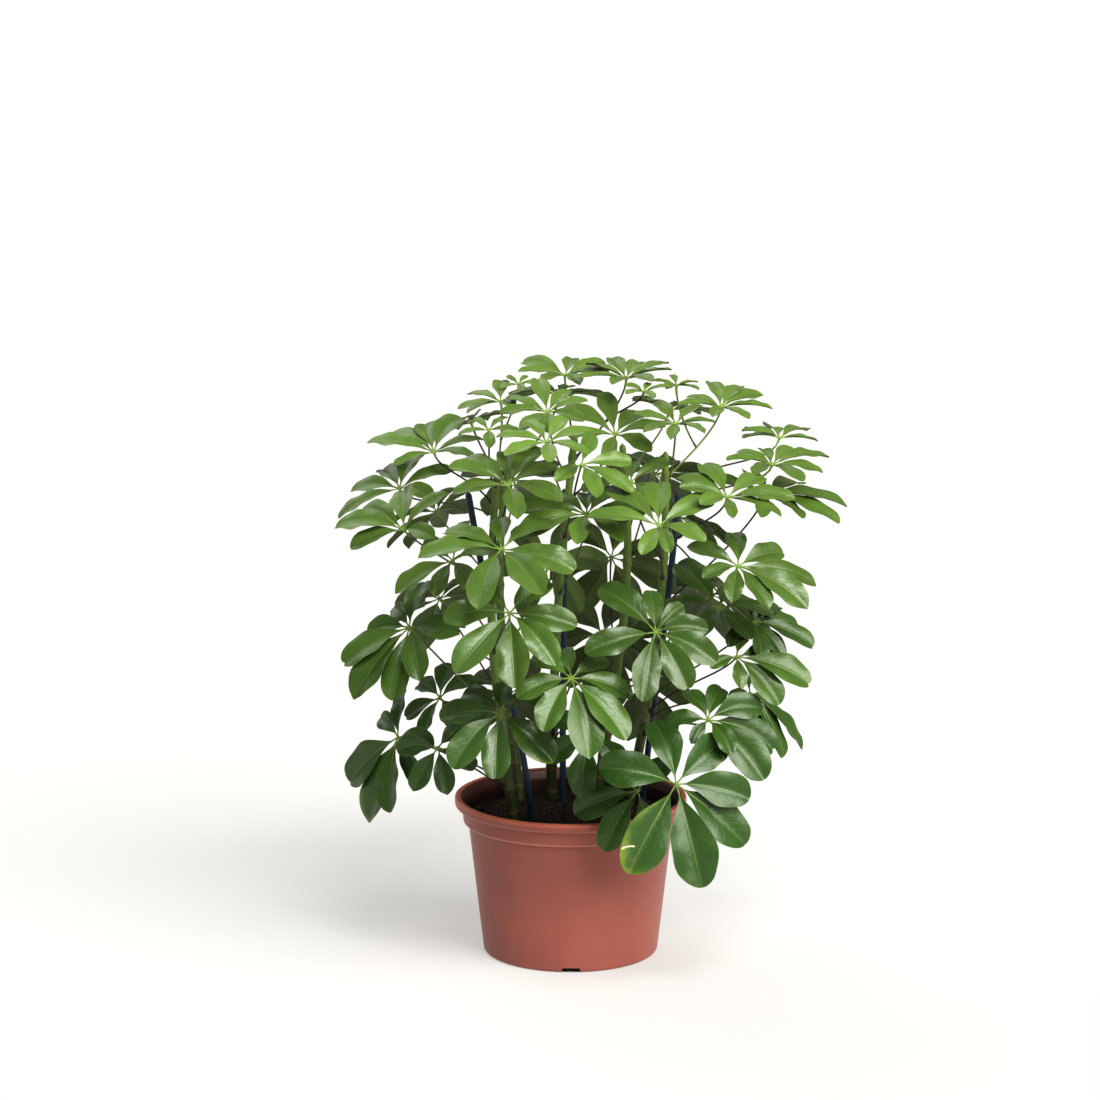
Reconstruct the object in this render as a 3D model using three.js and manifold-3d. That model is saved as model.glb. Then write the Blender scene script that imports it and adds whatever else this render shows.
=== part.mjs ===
// A potted umbrella plant in millimetres. +Z is up, -Y the front, and the origin is the middle of the pot's
// underside.
import * as THREE from "three";
import { mergeGeometries, mergeVertices } from "three/addons/utils/BufferGeometryUtils.js";
import Module from "manifold-3d";

const wasm = await Module();
wasm.setup();

// Pot and soil
const POT_HEIGHT = 165;
const RIM_RADIUS = 120.5;
const LIP_HEIGHT = 10;
const LIP_ROUNDING = 2.5;
const LIP_DRAFT = 0.5;
const LIP_SLOPE = 1;
const LIP_WIDTH = 7;
const COLLAR_RADIUS = 112.5;
const COLLAR_HEIGHT = 16;
const COLLAR_DRAFT = 0.5;
const COLLAR_STEP = 2;
const BODY_TOP_RADIUS = 106.5;
const BASE_RADIUS = 90.5;
const FOOT_CHAMFER = 3;
const WALL = 3;
const FLOOR = 6;
const NOTCHES = 4;
const NOTCH_WIDTH = 18;
const NOTCH_HEIGHT = 5;
const NOTCH_DEPTH = 16;
const DRAIN_RADIUS = 4;
const DRAIN_INSET = 11;
const DRAIN_SIDES = 8;
const SOIL_TOP = 148;
const SOIL_CROWN = 5;
const CROWN_RADIUS = 75;
const CROWN_DROP = 1.5;
const ROUND_SIDES = 30;

// Gap between pieces that touch on the real plant, and the distance at which two points are one
const GAP = 0.3;
const MERGE = 1e-4;

// Stems: the points of each centre line, from its foot in the soil to its top
const STEM_SIDES = 8;
const STEM_STEPS = 9;
const STEM_FOOT_RADIUS = 6;
const STEM_TOP_RADIUS = 3.6;
const STEMS = {
  left: [[-56, -32, 62], [-60, -40, 150], [-70, -52, 240], [-80, -52, 340], [-80, -50, 440], [-74, -46, 515]],
  centre: [[-16, 60, 62], [-20, 58, 150], [-18, 30, 250], [-14, 8, 350], [-6, 0, 450], [4, 4, 545]],
  right: [[54, 38, 62], [62, 32, 150], [78, 10, 250], [90, -8, 350], [96, -18, 440], [96, -16, 530]],
  back_left: [[-50, 50, 62], [-54, 56, 150], [-66, 74, 250], [-74, 84, 350], [-72, 86, 440], [-62, 84, 510]],
  back_right: [[24, 80, 62], [30, 84, 150], [46, 96, 250], [58, 102, 350], [60, 98, 440], [54, 92, 520]],
};

// Stakes, in the same way
const STAKE_SIDES = 8;
const STAKE_STEPS = 6;
const STAKE_RADIUS = 3.5;
const STAKES = {
  left: [
    [-36, -30, 52], [-40, -36, 150], [-56, -36, 250], [-70, -36, 310], [-94, -36, 430], [-105, -36, 492],
  ],
  centre: [[-8, 34, 52], [-8, 36, 150], [-8, 40, 260], [-7, 46, 380], [-7, 48, 480]],
  right: [[72, 46, 52], [76, 36, 150], [86, 24, 250], [98, 14, 350], [106, 8, 430], [110, 4, 484]],
};

// A number from -1 to 1 that looks random and is the same each time.
function wobble(seed, item, use) {
  const s = Math.sin((seed + 1) * 127.1 + (item + 1) * 311.7 + use * 74.7) * 43758.5453;
  return (s - Math.floor(s)) * 2 - 1;
}

// An even fan of leaflets: [angle, length] pairs, shorter on the stem's side, each a little off its place.
const ANGLE_SPREAD = 7;
const LENGTH_SPREAD = 0.09;
const SHORTER_BEHIND = 0.24;
function even(count, length, turn) {
  return Array.from({ length: count }, (_, k) => {
    const angle = turn + (360 * k) / count;
    const behind = (1 - Math.cos(THREE.MathUtils.degToRad(angle))) / 2;
    return [
      angle + ANGLE_SPREAD * wobble(length + turn, k, 1),
      length * (1 - SHORTER_BEHIND * behind) * (1 + LENGTH_SPREAD * wobble(length + turn, k, 2)),
    ];
  });
}

// Leaves, those in front first.
// stem, from: the stem that the petiole leaves, and the height there.
// fork: in place of them, the share of the petiole of the last leaf with a stem, out of which this one grows.
// hub: where the leaflets meet.
// face: the way the upper side looks, as [turn from the front to the right, height above level] in degrees.
// fan: each leaflet's [angle from straight down the leaf to the right, length].
const LEAVES = [
  { stem: "right", from: 300, hub: [82, -190, 379], face: [4, 33],
    fan: [[-145, 80], [-85, 75], [-15, 75], [30, 70], [70, 70], [105, 55], [145, 45], [182, 52]] },
  { stem: "left", from: 330, hub: [-61, -190, 398], face: [0, 38],
    fan: [[-145, 55], [-96, 68], [-45, 84], [5, 82], [45, 74], [88, 70], [140, 58]] },
  { stem: "left", from: 380, hub: [-70, -160, 456], face: [-4, 62],
    fan: [[-175, 55], [-122, 70], [-90, 84], [-12, 88], [35, 90], [75, 84], [135, 72]] },
  { stem: "centre", from: 225, hub: [-1, -200, 335], face: [4, 42],
    fan: [[-175, 45], [-138, 50], [-80, 60], [-32, 66], [12, 85], [44, 85], [84, 66], [132, 50]] },
  { stem: "left", from: 215, hub: [-71, -180, 295], face: [-8, 44],
    fan: [[180, 45], [-134, 55], [-98, 65], [-42, 74], [2, 72], [58, 76], [130, 56]] },
  { stem: "right", from: 190, hub: [104, -170, 220], face: [10, 20],
    fan: [[-172, 76], [-122, 84], [-38, 102], [14, 106], [58, 96], [92, 80], [142, 78]] },
  { stem: "right", from: 400, hub: [86, -150, 478], face: [0, 58],
    fan: [[180, 74], [-142, 80], [-104, 74], [-24, 50], [16, 42], [66, 54], [130, 70]] },
  { stem: "right", from: 230, hub: [137, -126, 275], face: [18, 38],
    fan: [[-110, 44], [-52, 32], [16, 50], [42, 84], [74, 80], [112, 64], [154, 52], [-166, 46]] },
  { stem: "right", from: 330, hub: [166, -120, 431], face: [22, 52],
    fan: [[-140, 58], [-82, 46], [-30, 50], [14, 60], [44, 84], [76, 84], [114, 62], [166, 58]] },
  { stem: "left", from: 440, hub: [-63, -120, 513], face: [-2, 66],
    fan: [[-175, 64], [-142, 72], [-112, 66], [-82, 58], [12, 60], [66, 64], [122, 58], [158, 70]] },
  { stem: "left", from: 270, hub: [-164, -70, 358], face: [-38, 38],
    fan: [[-170, 62], [-132, 46], [-90, 58], [-54, 82], [-24, 92], [6, 78], [44, 70], [105, 64]] },
  { stem: "left", from: 185, hub: [-176, -80, 246], face: [-48, 14],
    fan: [[-168, 56], [-126, 46], [-58, 88], [-20, 96], [16, 78], [58, 60], [108, 54]] },
  { stem: "left", from: 395, hub: [-170, -50, 455], face: [-46, 48],
    fan: [[-144, 72], [-108, 76], [-82, 82], [-58, 62], [96, 50], [158, 62]] },
  { stem: "back_left", from: 440, hub: [-177, 30, 483], face: [-46, 62],
    fan: [[-160, 66], [-122, 66], [-82, 66], [-40, 72], [92, 56], [150, 62]] },
  { stem: "left", from: 480, hub: [-141, 24, 522], face: [-24, 68],
    fan: [[-178, 80], [-150, 74], [-120, 76], [-92, 76], [-48, 46], [84, 52], [136, 56]] },
  { stem: "right", from: 431, hub: [155, -110, 499], face: [18, 66],
    fan: [[-175, 66], [-145, 62], [-108, 52], [-64, 46], [-10, 36], [46, 62], [74, 70], [126, 62]] },
  { stem: "right", from: 370, hub: [199, 0, 481], face: [52, 68],
    fan: [[-150, 62], [-60, 50], [-8, 58], [26, 84], [58, 94], [100, 76], [150, 62]] },
  { stem: "right", from: 470, hub: [204, -30, 518], face: [44, 77],
    fan: [[-170, 46], [-122, 52], [-70, 50], [-5, 50], [48, 54], [80, 72], [110, 60], [148, 46]] },
  { stem: "right", from: 485, hub: [217, 66, 530], face: [96, 80],
    fan: [[-150, 52], [0, 42], [54, 62], [92, 68], [134, 48], [176, 42]] },
  { stem: "right", from: 505, hub: [153, 4, 572], face: [14, 78],
    fan: [[-138, 42], [-90, 48], [-30, 40], [30, 42], [82, 54], [114, 56], [144, 54], [176, 56]] },
  { fork: 0.45, hub: [108, 22, 592], face: [20, 80], fan: even(5, 32, 24) },
  { stem: "right", from: 270, hub: [186, -50, 360], face: [38, 54],
    fan: [[-72, 50], [-24, 50], [16, 50], [50, 70], [82, 58], [116, 48], [168, 62]] },
  { stem: "right", from: 255, hub: [167, -90, 332], face: [28, 44],
    fan: [[-88, 34], [-16, 38], [32, 66], [64, 84], [104, 60], [156, 50]] },
  { stem: "right", from: 290, hub: [150, -52, 374], face: [0, 68],
    fan: [[-152, 84], [-100, 60], [-30, 50], [40, 56], [100, 60], [155, 50]] },
  { stem: "centre", from: 380, hub: [15, -100, 480], face: [-6, 68],
    fan: [[-175, 52], [-132, 60], [-96, 74], [-60, 80], [-5, 58], [45, 60], [100, 60], [155, 64]] },
  { stem: "centre", from: 470, hub: [-25, -106, 554], face: [0, 66],
    fan: [[-155, 48], [-105, 52], [-55, 54], [5, 48], [55, 54], [108, 50], [158, 48]] },
  { stem: "centre", from: 440, hub: [10, -98, 530], face: [24, 54],
    fan: [[-64, 46], [-5, 54], [42, 62], [92, 56], [150, 50]] },
  { stem: "right", from: 490, hub: [105, -60, 565], face: [0, 72],
    fan: [[-155, 46], [-108, 46], [-60, 40], [-10, 38], [45, 42], [98, 42], [145, 46]] },
  { stem: "centre", from: 480, hub: [45, -10, 546], face: [0, 60],
    fan: [[-170, 64], [-132, 68], [-80, 52], [-15, 44], [55, 48], [108, 54], [155, 66]] },
  { stem: "centre", from: 500, hub: [-24, -30, 572], face: [-6, 64],
    fan: [[-165, 58], [-122, 50], [-80, 50], [-34, 46], [8, 50], [66, 46], [112, 44], [156, 46]] },
  { stem: "centre", from: 520, hub: [57, 40, 596], face: [0, 82],
    fan: [[-165, 56], [-122, 50], [-70, 56], [-20, 46], [35, 48], [84, 50], [126, 56], [165, 54]] },
  { fork: 0.5, hub: [74, -8, 590], face: [14, 74], fan: even(5, 28, 10) },
  { stem: "centre", from: 535, hub: [-6, 70, 595], face: [0, 82],
    fan: [[-130, 60], [-84, 50], [-35, 44], [20, 46], [76, 50], [124, 52], [172, 54]] },
  { stem: "left", from: 505, hub: [-72, 16, 576], face: [-50, 76],
    fan: [[-134, 54], [-86, 48], [-42, 46], [4, 48], [72, 42], [150, 46]] },
  { fork: 0.55, hub: [-54, 44, 590], face: [-10, 70], fan: even(5, 26, 16) },
  { stem: "left", from: 500, hub: [-83, -60, 559], face: [-16, 66], fan: even(5, 36, 12) },
  { stem: "left", from: 350, hub: [-119, -96, 432], face: [-36, 48],
    fan: [[-170, 56], [-118, 58], [-52, 68], [4, 46], [60, 52], [124, 54]] },
  { stem: "left", from: 225, hub: [-135, -20, 273], face: [-36, 40],
    fan: [[-166, 56], [-122, 50], [-62, 46], [-8, 46], [60, 50], [150, 46]] },
  { stem: "left", from: 190, hub: [-134, -124, 246], face: [-10, 24],
    fan: [[-100, 46], [-32, 50], [18, 48], [76, 46], [150, 42]] },
  { stem: "right", from: 185, hub: [66, -134, 204], face: [-20, 20],
    fan: [[-134, 58], [-80, 74], [-30, 70], [34, 60], [150, 50]] },
  { stem: "right", from: 245, hub: [186, 6, 272], face: [62, 36],
    fan: [[-100, 50], [-42, 54], [-8, 76], [26, 84], [66, 46], [150, 50]] },
  { stem: "centre", from: 215, hub: [19, -120, 258], face: [2, 22],
    fan: [[-130, 48], [-70, 52], [-10, 64], [50, 52], [130, 48]] },
  { stem: "right", from: 420, hub: [60, -56, 505], face: [-12, 62], fan: even(6, 58, 0) },
  { stem: "back_right", from: 490, hub: [104, 112, 552], face: [132, 74], fan: even(8, 58, 10) },
  { stem: "back_left", from: 485, hub: [-12, 150, 562], face: [178, 72], fan: even(7, 68, -6) },
  { stem: "back_left", from: 480, hub: [-104, 112, 538], face: [-130, 68], fan: even(8, 62, 14) },
  { stem: "back_right", from: 400, hub: [116, 96, 440], face: [128, 50], fan: even(7, 68, 4) },
  { fork: 0.4, hub: [168, 62, 364], face: [108, 44], fan: even(7, 64, 18) },
  { stem: "back_right", from: 390, hub: [92, 204, 468], face: [155, 52], fan: even(8, 82, -8) },
  { stem: "back_left", from: 400, hub: [-60, 206, 462], face: [-166, 54], fan: even(7, 80, 10) },
  { stem: "back_left", from: 370, hub: [-142, 132, 440], face: [-132, 46], fan: even(8, 72, -4) },
  { fork: 0.4, hub: [-166, 74, 352], face: [-108, 42], fan: even(7, 64, 12) },
  { stem: "back_right", from: 250, hub: [150, 166, 344], face: [138, 42], fan: even(7, 82, 6) },
  { fork: 0.4, hub: [74, 158, 248], face: [166, 14], fan: even(7, 76, 12) },
  { stem: "back_right", from: 300, hub: [36, 176, 296], face: [176, 20], fan: even(7, 84, -10) },
  { fork: 0.35, hub: [44, 146, 388], face: [172, 14], fan: even(7, 78, 34) },
  { stem: "back_left", from: 245, hub: [-140, 170, 338], face: [-142, 40], fan: even(7, 80, 0) },
  { fork: 0.4, hub: [-66, 158, 236], face: [-164, 26], fan: even(7, 76, -12) },
  { fork: 0.3, hub: [-24, 128, 388], face: [-172, 18], fan: even(6, 76, 28) },
];

// Leaf shape, as shares of a leaflet's length, and angles in degrees
const SLIMNESS = { old: 2.14, young: 2.9 };
const WIDEST_AT = 0.6;
const BASE_TAPER = 1.4;
const TIP_BLUNTNESS = 2.2;
const STALK_SHARE = 0.12;
const STALK_HALF_WIDTH = 1.2;
const RIB_THICKNESS = 1.5;
const FOLD = 14;
const ROWS = [0.16, 0.56, 0.87];
const ARCH_BACK = 0.25;
const ROLL_SPREAD = 12;
const RISE_SPREAD = 5;

// Leaves near the pot are old: their leaflets lie flat and hang. Those near the top are young: they rise.
const OLD_BELOW = 250;
const YOUNG_ABOVE = 600;
const RISE = { old: 4, young: 22 };
const DROOP = { old: 0.6, young: 0.3 };
const PETIOLE_SIDES = 3;
const PETIOLE_STEPS = 3;
const PETIOLE_FOOT_RADIUS = 2;
const PETIOLE_TOP_RADIUS = 1.4;
const PETIOLE_CLIMB = 40;
const PETIOLE_LEAVES = 0.38;
const PETIOLE_ARRIVES = 0.22;
const HUB_RADIUS = 2.6;
const HUB_ABOVE = 1.2;
const HUB_BELOW = 2.2;
const LIGHT_ABOVE = 520;

// How a leaflet may be bent clear of what already stands there: [rise, turn] in degrees, tried in this order
const BENDS = [
  [0, 0], [9, 0], [-9, 0], [18, 0], [-18, 0], [6, 12], [6, -12], [-10, 12], [-10, -12], [28, 0], [-28, 0],
  [20, 14], [20, -14], [-20, 14], [-20, -14], [38, 0], [-38, 0],
];
const SHORTENED = [1, 0.82, 0.66];
const CLEAR_THICKNESS = 3.4;
const CLEAR_OF_OTHERS = 0.03;
const CLEAR_OF_ITS_OWN = 0.3;
const CLEAR_OF_RODS = 1;
const HALVINGS = 30;

const rad = THREE.MathUtils.degToRad;
const UP = new THREE.Vector3(0, 0, 1);

// Skins a tube of rings, each a list of points. Its ends are closed, or left open where it joins other skins.
// A ring of one point is a tip. Quads split from their even corner on the lower ring, so that both faces of a
// blade split alike.
function loft(rings, closed = true) {
  const points = [];
  const index = [];
  const starts = rings.map((ring) => {
    const start = points.length / 3;
    ring.forEach((p) => points.push(p.x, p.y, p.z));
    return start;
  });
  const sides = Math.max(...rings.map((ring) => ring.length));
  for (let i = 0; i + 1 < rings.length; i++) {
    const at = (row, j) => starts[row] + (rings[row].length === 1 ? 0 : j % sides);
    for (let j = 0; j < sides; j++) {
      const [a, b, c, d] = [at(i, j), at(i, j + 1), at(i + 1, j + 1), at(i + 1, j)];
      const faces = j % 2 === 0 ? [[a, b, c], [a, c, d]] : [[a, b, d], [b, c, d]];
      faces.filter(([p, q, r]) => p !== q && q !== r && r !== p).forEach((face) => index.push(...face));
    }
  }
  const last = rings.length - 1;
  for (let j = 1; closed && j + 1 < sides; j++) {
    if (rings[0].length > 1) index.push(starts[0], starts[0] + j + 1, starts[0] + j);
    if (rings[last].length > 1) index.push(starts[last], starts[last] + j, starts[last] + j + 1);
  }
  const geometry = new THREE.BufferGeometry();
  geometry.setAttribute("position", new THREE.Float32BufferAttribute(points, 3));
  geometry.setIndex(index);
  return geometry;
}

// A solid that can be joined and cut, from a closed geometry.
function solid(geometry) {
  const bare = geometry.clone();
  bare.deleteAttribute("normal");
  bare.deleteAttribute("uv");
  const merged = mergeVertices(bare, MERGE);
  const vertProperties = new Float32Array(merged.getAttribute("position").array);
  const triVerts = new Uint32Array(merged.getIndex().array);
  return new wasm.Manifold(new wasm.Mesh({ numProp: 3, vertProperties, triVerts }));
}

function geometryOf(body) {
  const { numProp, vertProperties, triVerts } = body.getMesh();
  const points = [];
  for (let i = 0; i < vertProperties.length; i += numProp) points.push(...vertProperties.slice(i, i + 3));
  const geometry = new THREE.BufferGeometry();
  geometry.setAttribute("position", new THREE.Float32BufferAttribute(points, 3));
  geometry.setIndex(Array.from(triVerts));
  const flat = geometry.toNonIndexed();
  flat.computeVertexNormals();
  return flat;
}

// The rings of a round rod along a curve, thinner towards its end, with an extra radius for clearance.
function rodRings(curve, steps, sides, footRadius, topRadius, extra = 0) {
  const frames = curve.computeFrenetFrames(steps);
  const rings = [];
  for (let i = 0; i <= steps; i++) {
    const centre = curve.getPointAt(i / steps);
    const radius = THREE.MathUtils.lerp(footRadius, topRadius, i / steps) + extra;
    const ring = [];
    for (let j = 0; j < sides; j++) {
      const angle = (2 * Math.PI * (j + 0.5)) / sides;
      ring.push(
        centre
          .clone()
          .addScaledVector(frames.normals[i], radius * Math.cos(angle))
          .addScaledVector(frames.binormals[i], radius * Math.sin(angle)),
      );
    }
    rings.push(ring);
  }
  return rings;
}

const curveThrough = (points) => new THREE.CatmullRomCurve3(points.map((p) => new THREE.Vector3(...p)));

const LIP_BOTTOM = POT_HEIGHT - LIP_HEIGHT;
const BODY_TOP = LIP_BOTTOM - COLLAR_HEIGHT - COLLAR_STEP;

// The pot: a turned wall and floor, with notches and drain holes cut at its foot.
function potSolid() {
  const r = LIP_ROUNDING;
  const profile = [
    [0, 0],
    [BASE_RADIUS - FOOT_CHAMFER, 0],
    [BASE_RADIUS, FOOT_CHAMFER],
    [BODY_TOP_RADIUS, BODY_TOP],
    [COLLAR_RADIUS - COLLAR_DRAFT, BODY_TOP + COLLAR_STEP],
    [COLLAR_RADIUS, LIP_BOTTOM],
    [RIM_RADIUS - r, LIP_BOTTOM + LIP_DRAFT],
    [RIM_RADIUS, LIP_BOTTOM + r],
    [RIM_RADIUS, POT_HEIGHT - r],
    [RIM_RADIUS - r, POT_HEIGHT],
    [RIM_RADIUS - LIP_WIDTH, POT_HEIGHT - LIP_SLOPE],
    [COLLAR_RADIUS - WALL, LIP_BOTTOM],
    [COLLAR_RADIUS - COLLAR_DRAFT - WALL, BODY_TOP + COLLAR_STEP],
    [BODY_TOP_RADIUS - WALL, BODY_TOP],
    [BASE_RADIUS - WALL, FLOOR],
    [0, FLOOR],
  ].map(([x, y]) => new THREE.Vector2(x, y));
  const turned = new THREE.LatheGeometry(profile, ROUND_SIDES);
  turned.rotateX(Math.PI / 2);
  let pot = solid(turned);
  for (let i = 0; i < NOTCHES; i++) {
    const angle = (2 * Math.PI * i) / NOTCHES - Math.PI / 2;
    const notch = new THREE.BoxGeometry(NOTCH_DEPTH, NOTCH_WIDTH, 2 * NOTCH_HEIGHT);
    notch.translate(BASE_RADIUS, 0, 0);
    const drain = new THREE.CylinderGeometry(DRAIN_RADIUS, DRAIN_RADIUS, 4 * FLOOR, DRAIN_SIDES);
    drain.rotateX(Math.PI / 2);
    drain.translate(BASE_RADIUS - DRAIN_INSET, 0, 0);
    for (const cutter of [notch, drain]) pot = pot.subtract(solid(cutter.rotateZ(angle)));
  }
  return pot;
}

const insideRadius = (z) =>
  THREE.MathUtils.mapLinear(z, FLOOR, BODY_TOP, BASE_RADIUS - WALL, BODY_TOP_RADIUS - WALL);

// The soil: a turned plug with a low crown, and a plain hole for each stem and stake.
function soilSolid(standing) {
  const bottom = FLOOR + GAP;
  const profile = [
    [0, bottom],
    [insideRadius(bottom) - GAP, bottom],
    [insideRadius(BODY_TOP) - GAP, BODY_TOP],
    [COLLAR_RADIUS - COLLAR_DRAFT - WALL - GAP, BODY_TOP + COLLAR_STEP + GAP],
    [COLLAR_RADIUS - COLLAR_DRAFT - WALL - GAP, SOIL_TOP - SOIL_CROWN],
    [CROWN_RADIUS, SOIL_TOP - CROWN_DROP],
    [0, SOIL_TOP],
  ].map(([x, y]) => new THREE.Vector2(x, y));
  const turned = new THREE.LatheGeometry(profile, ROUND_SIDES);
  turned.rotateX(Math.PI / 2);
  return standing.reduce((soil, piece) => soil.subtract(piece), solid(turned));
}

// Share of a leaflet's full half-width at share s of its length, from the hub to the tip.
function outline(s) {
  const t = (s - STALK_SHARE) / (1 - STALK_SHARE);
  if (t <= 0) return 0;
  if (t < WIDEST_AT) return Math.sin((Math.PI / 2) * (t / WIDEST_AT)) ** BASE_TAPER;
  return Math.sqrt(Math.max(0, 1 - ((t - WIDEST_AT) / (1 - WIDEST_AT)) ** TIP_BLUNTNESS));
}

// The directions of a leaf: n, its upper side; down, along it away from its highest point; side, across it.
function leafFrame([turn, height]) {
  const [a, e] = [rad(turn), rad(height)];
  const out = new THREE.Vector3(Math.sin(a), -Math.cos(a), 0);
  const n = out.clone().multiplyScalar(Math.cos(e)).addScaledVector(UP, Math.sin(e));
  const down = out.clone().multiplyScalar(Math.sin(e)).addScaledVector(UP, -Math.cos(e));
  return { n, down, side: new THREE.Vector3().crossVectors(UP, out) };
}

// One leaflet's centre line and sizes, bent clear by [rise, turn] and shortened.
function leaflet(leaf, number, k, bend, shortened) {
  const { n, down, side } = leafFrame(leaf.face);
  const youth = THREE.MathUtils.clamp(THREE.MathUtils.inverseLerp(OLD_BELOW, YOUNG_ABOVE, leaf.hub[2]), 0, 1);
  const angle = rad(leaf.fan[k][0] + bend[1]);
  const length = shortened * leaf.fan[k][1];
  const flat = down.clone().multiplyScalar(Math.cos(angle)).addScaledVector(side, Math.sin(angle));
  const own = RISE_SPREAD * wobble(number, k, 3);
  const rise = rad(THREE.MathUtils.lerp(RISE.old, RISE.young, youth) + own + bend[0]);
  const start = flat.multiplyScalar(Math.cos(rise)).addScaledVector(n, Math.sin(rise));
  const droop = THREE.MathUtils.lerp(DROOP.old, DROOP.young, youth);
  const end = start.clone().addScaledVector(UP, -droop).addScaledVector(n, -ARCH_BACK).normalize();
  const hub = new THREE.Vector3(...leaf.hub);
  const middle = hub.clone().addScaledVector(start, length / 2);
  const tip = middle.clone().addScaledVector(end, length / 2);
  const line = new THREE.QuadraticBezierCurve3(hub, middle, tip);
  const roll = rad(ROLL_SPREAD * wobble(number, k, 4));
  const slimness = THREE.MathUtils.lerp(SLIMNESS.old, SLIMNESS.young, youth);
  return { line, start, n, roll, length, halfWidth: length / slimness / 2 };
}

// The ring of a leaflet at share s of its length: left edge, rib above, right edge, rib below.
function leafletRing({ line, n, roll, halfWidth }, s, thickness) {
  const tangent = line.getTangent(s);
  const across = new THREE.Vector3().crossVectors(tangent, n).normalize().applyAxisAngle(tangent, roll);
  const above = new THREE.Vector3().crossVectors(across, tangent);
  const centre = line.getPoint(s);
  const half = Math.max(STALK_HALF_WIDTH, halfWidth * outline(s));
  const lift = half * Math.sin(rad(FOLD));
  const reach = half * Math.cos(rad(FOLD));
  return [
    centre.clone().addScaledVector(across, -reach).addScaledVector(above, lift),
    centre.clone().addScaledVector(above, thickness / 2),
    centre.clone().addScaledVector(across, reach).addScaledVector(above, lift),
    centre.clone().addScaledVector(above, -thickness / 2),
  ];
}

// A thick stand-in for one leaflet, from share s of its length on, which marks the room it needs.
function roomFor(shape, from) {
  const shares = [from, ...ROWS.filter((s) => s > from)];
  const rings = shares.map((s) => leafletRing(shape, s, CLEAR_THICKNESS));
  return solid(loft([...rings, [shape.line.getPoint(1)]]));
}

// The leaflets of a leaf as one body: they share the hub's top and bottom, and each notch between two.
function umbrella(leaf, shapes) {
  const { n } = leafFrame(leaf.face);
  const hub = new THREE.Vector3(...leaf.hub);
  const top = hub.clone().addScaledVector(n, HUB_ABOVE);
  const bottom = hub.clone().addScaledVector(n, -HUB_BELOW);
  const notch = (a, b) =>
    hub.clone().addScaledVector(a.start.clone().add(b.start).projectOnPlane(n).normalize(), HUB_RADIUS);
  const skins = shapes.map((shape, k) => {
    const next = shapes[(k + 1) % shapes.length];
    const previous = shapes[(k + shapes.length - 1) % shapes.length];
    const rows = ROWS.map((s) => leafletRing(shape, s, RIB_THICKNESS));
    const root = [notch(shape, next), top, notch(previous, shape), bottom];
    return loft([root, ...rows, [shape.line.getPoint(1)]], false);
  });
  return solid(mergeGeometries(skins));
}

// The petiole's centre line from its foot: it climbs, and meets the hub from behind.
function petioleCurve(leaf, foot, away) {
  const hub = new THREE.Vector3(...leaf.hub);
  const { n } = leafFrame(leaf.face);
  const span = foot.distanceTo(hub);
  const climb = rad(PETIOLE_CLIMB);
  const first = foot
    .clone()
    .addScaledVector(away, PETIOLE_LEAVES * span * Math.cos(climb))
    .addScaledVector(UP, PETIOLE_LEAVES * span * Math.sin(climb));
  const last = hub.clone().addScaledVector(n, -PETIOLE_ARRIVES * span);
  return new THREE.CubicBezierCurve3(foot, first, last, hub);
}

// The share of a stem's length at which it reaches a height.
function shareAtHeight(curve, z) {
  let [low, high] = [0, 1];
  for (let i = 0; i < HALVINGS; i++) {
    const middle = (low + high) / 2;
    if (curve.getPointAt(middle).z < z) low = middle;
    else high = middle;
  }
  return low;
}

// A leaf's petiole: its centre line, and its solid with an extra radius. Its foot lies flat along its stem,
// GAP from it, or inside the petiole that it forks from.
function petioleOf(leaf, parent) {
  const stem = stemCurves[leaf.stem];
  const share = stem ? shareAtHeight(stem, leaf.from) : leaf.fork;
  const core = (stem ?? parent).getPointAt(share);
  const away = new THREE.Vector3(...leaf.hub).sub(core).setZ(0).normalize();
  const seat = away.clone().projectOnPlane((stem ?? parent).getTangentAt(share)).normalize();
  const distance = stem ? THREE.MathUtils.lerp(STEM_FOOT_RADIUS, STEM_TOP_RADIUS, share) + GAP : 0;
  const curve = petioleCurve(leaf, core.clone().addScaledVector(seat, distance), away);
  const grown = (extra) => {
    const [foot, top] = [PETIOLE_FOOT_RADIUS, PETIOLE_TOP_RADIUS];
    const rings = rodRings(curve, PETIOLE_STEPS, PETIOLE_SIDES, foot, top, extra);
    if (stem) rings[0].forEach((p) => p.addScaledVector(seat, distance - p.clone().sub(core).dot(seat)));
    return solid(loft(rings));
  };
  return { curve, grown };
}

const boxOf = (body) => {
  const { min, max } = body.boundingBox();
  return new THREE.Box3(new THREE.Vector3(...min), new THREE.Vector3(...max));
};

const touches = (a, b) => a.box.intersectsBox(b.box) && a.body.intersect(b.body).volume() > 0;

const obstacle = (body, owner) => ({ body, owner, box: boxOf(body) });

const plant = new THREE.Group();

function place(name, body, { color, roughness }) {
  const material = new THREE.MeshStandardMaterial({ color, roughness, metalness: 0 });
  const mesh = new THREE.Mesh(geometryOf(body), material);
  mesh.name = name;
  plant.add(mesh);
}

const TERRACOTTA = { color: "#a35a4e", roughness: 0.5 };
const EARTH = { color: "#2e2119", roughness: 1 };
const CANE = { color: "#16343a", roughness: 0.5 };
const BARK = { color: "#5f7d3c", roughness: 0.6 };
const YOUNG_LEAF = { color: "#7fae4a", roughness: 0.4 };
const LEAF = { color: "#47702f", roughness: 0.35 };

const obstacles = [];
const stemCurves = {};
const standing = [];

const pot = potSolid();
place("pot", pot, TERRACOTTA);
obstacles.push(obstacle(pot, "pot"));

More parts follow.
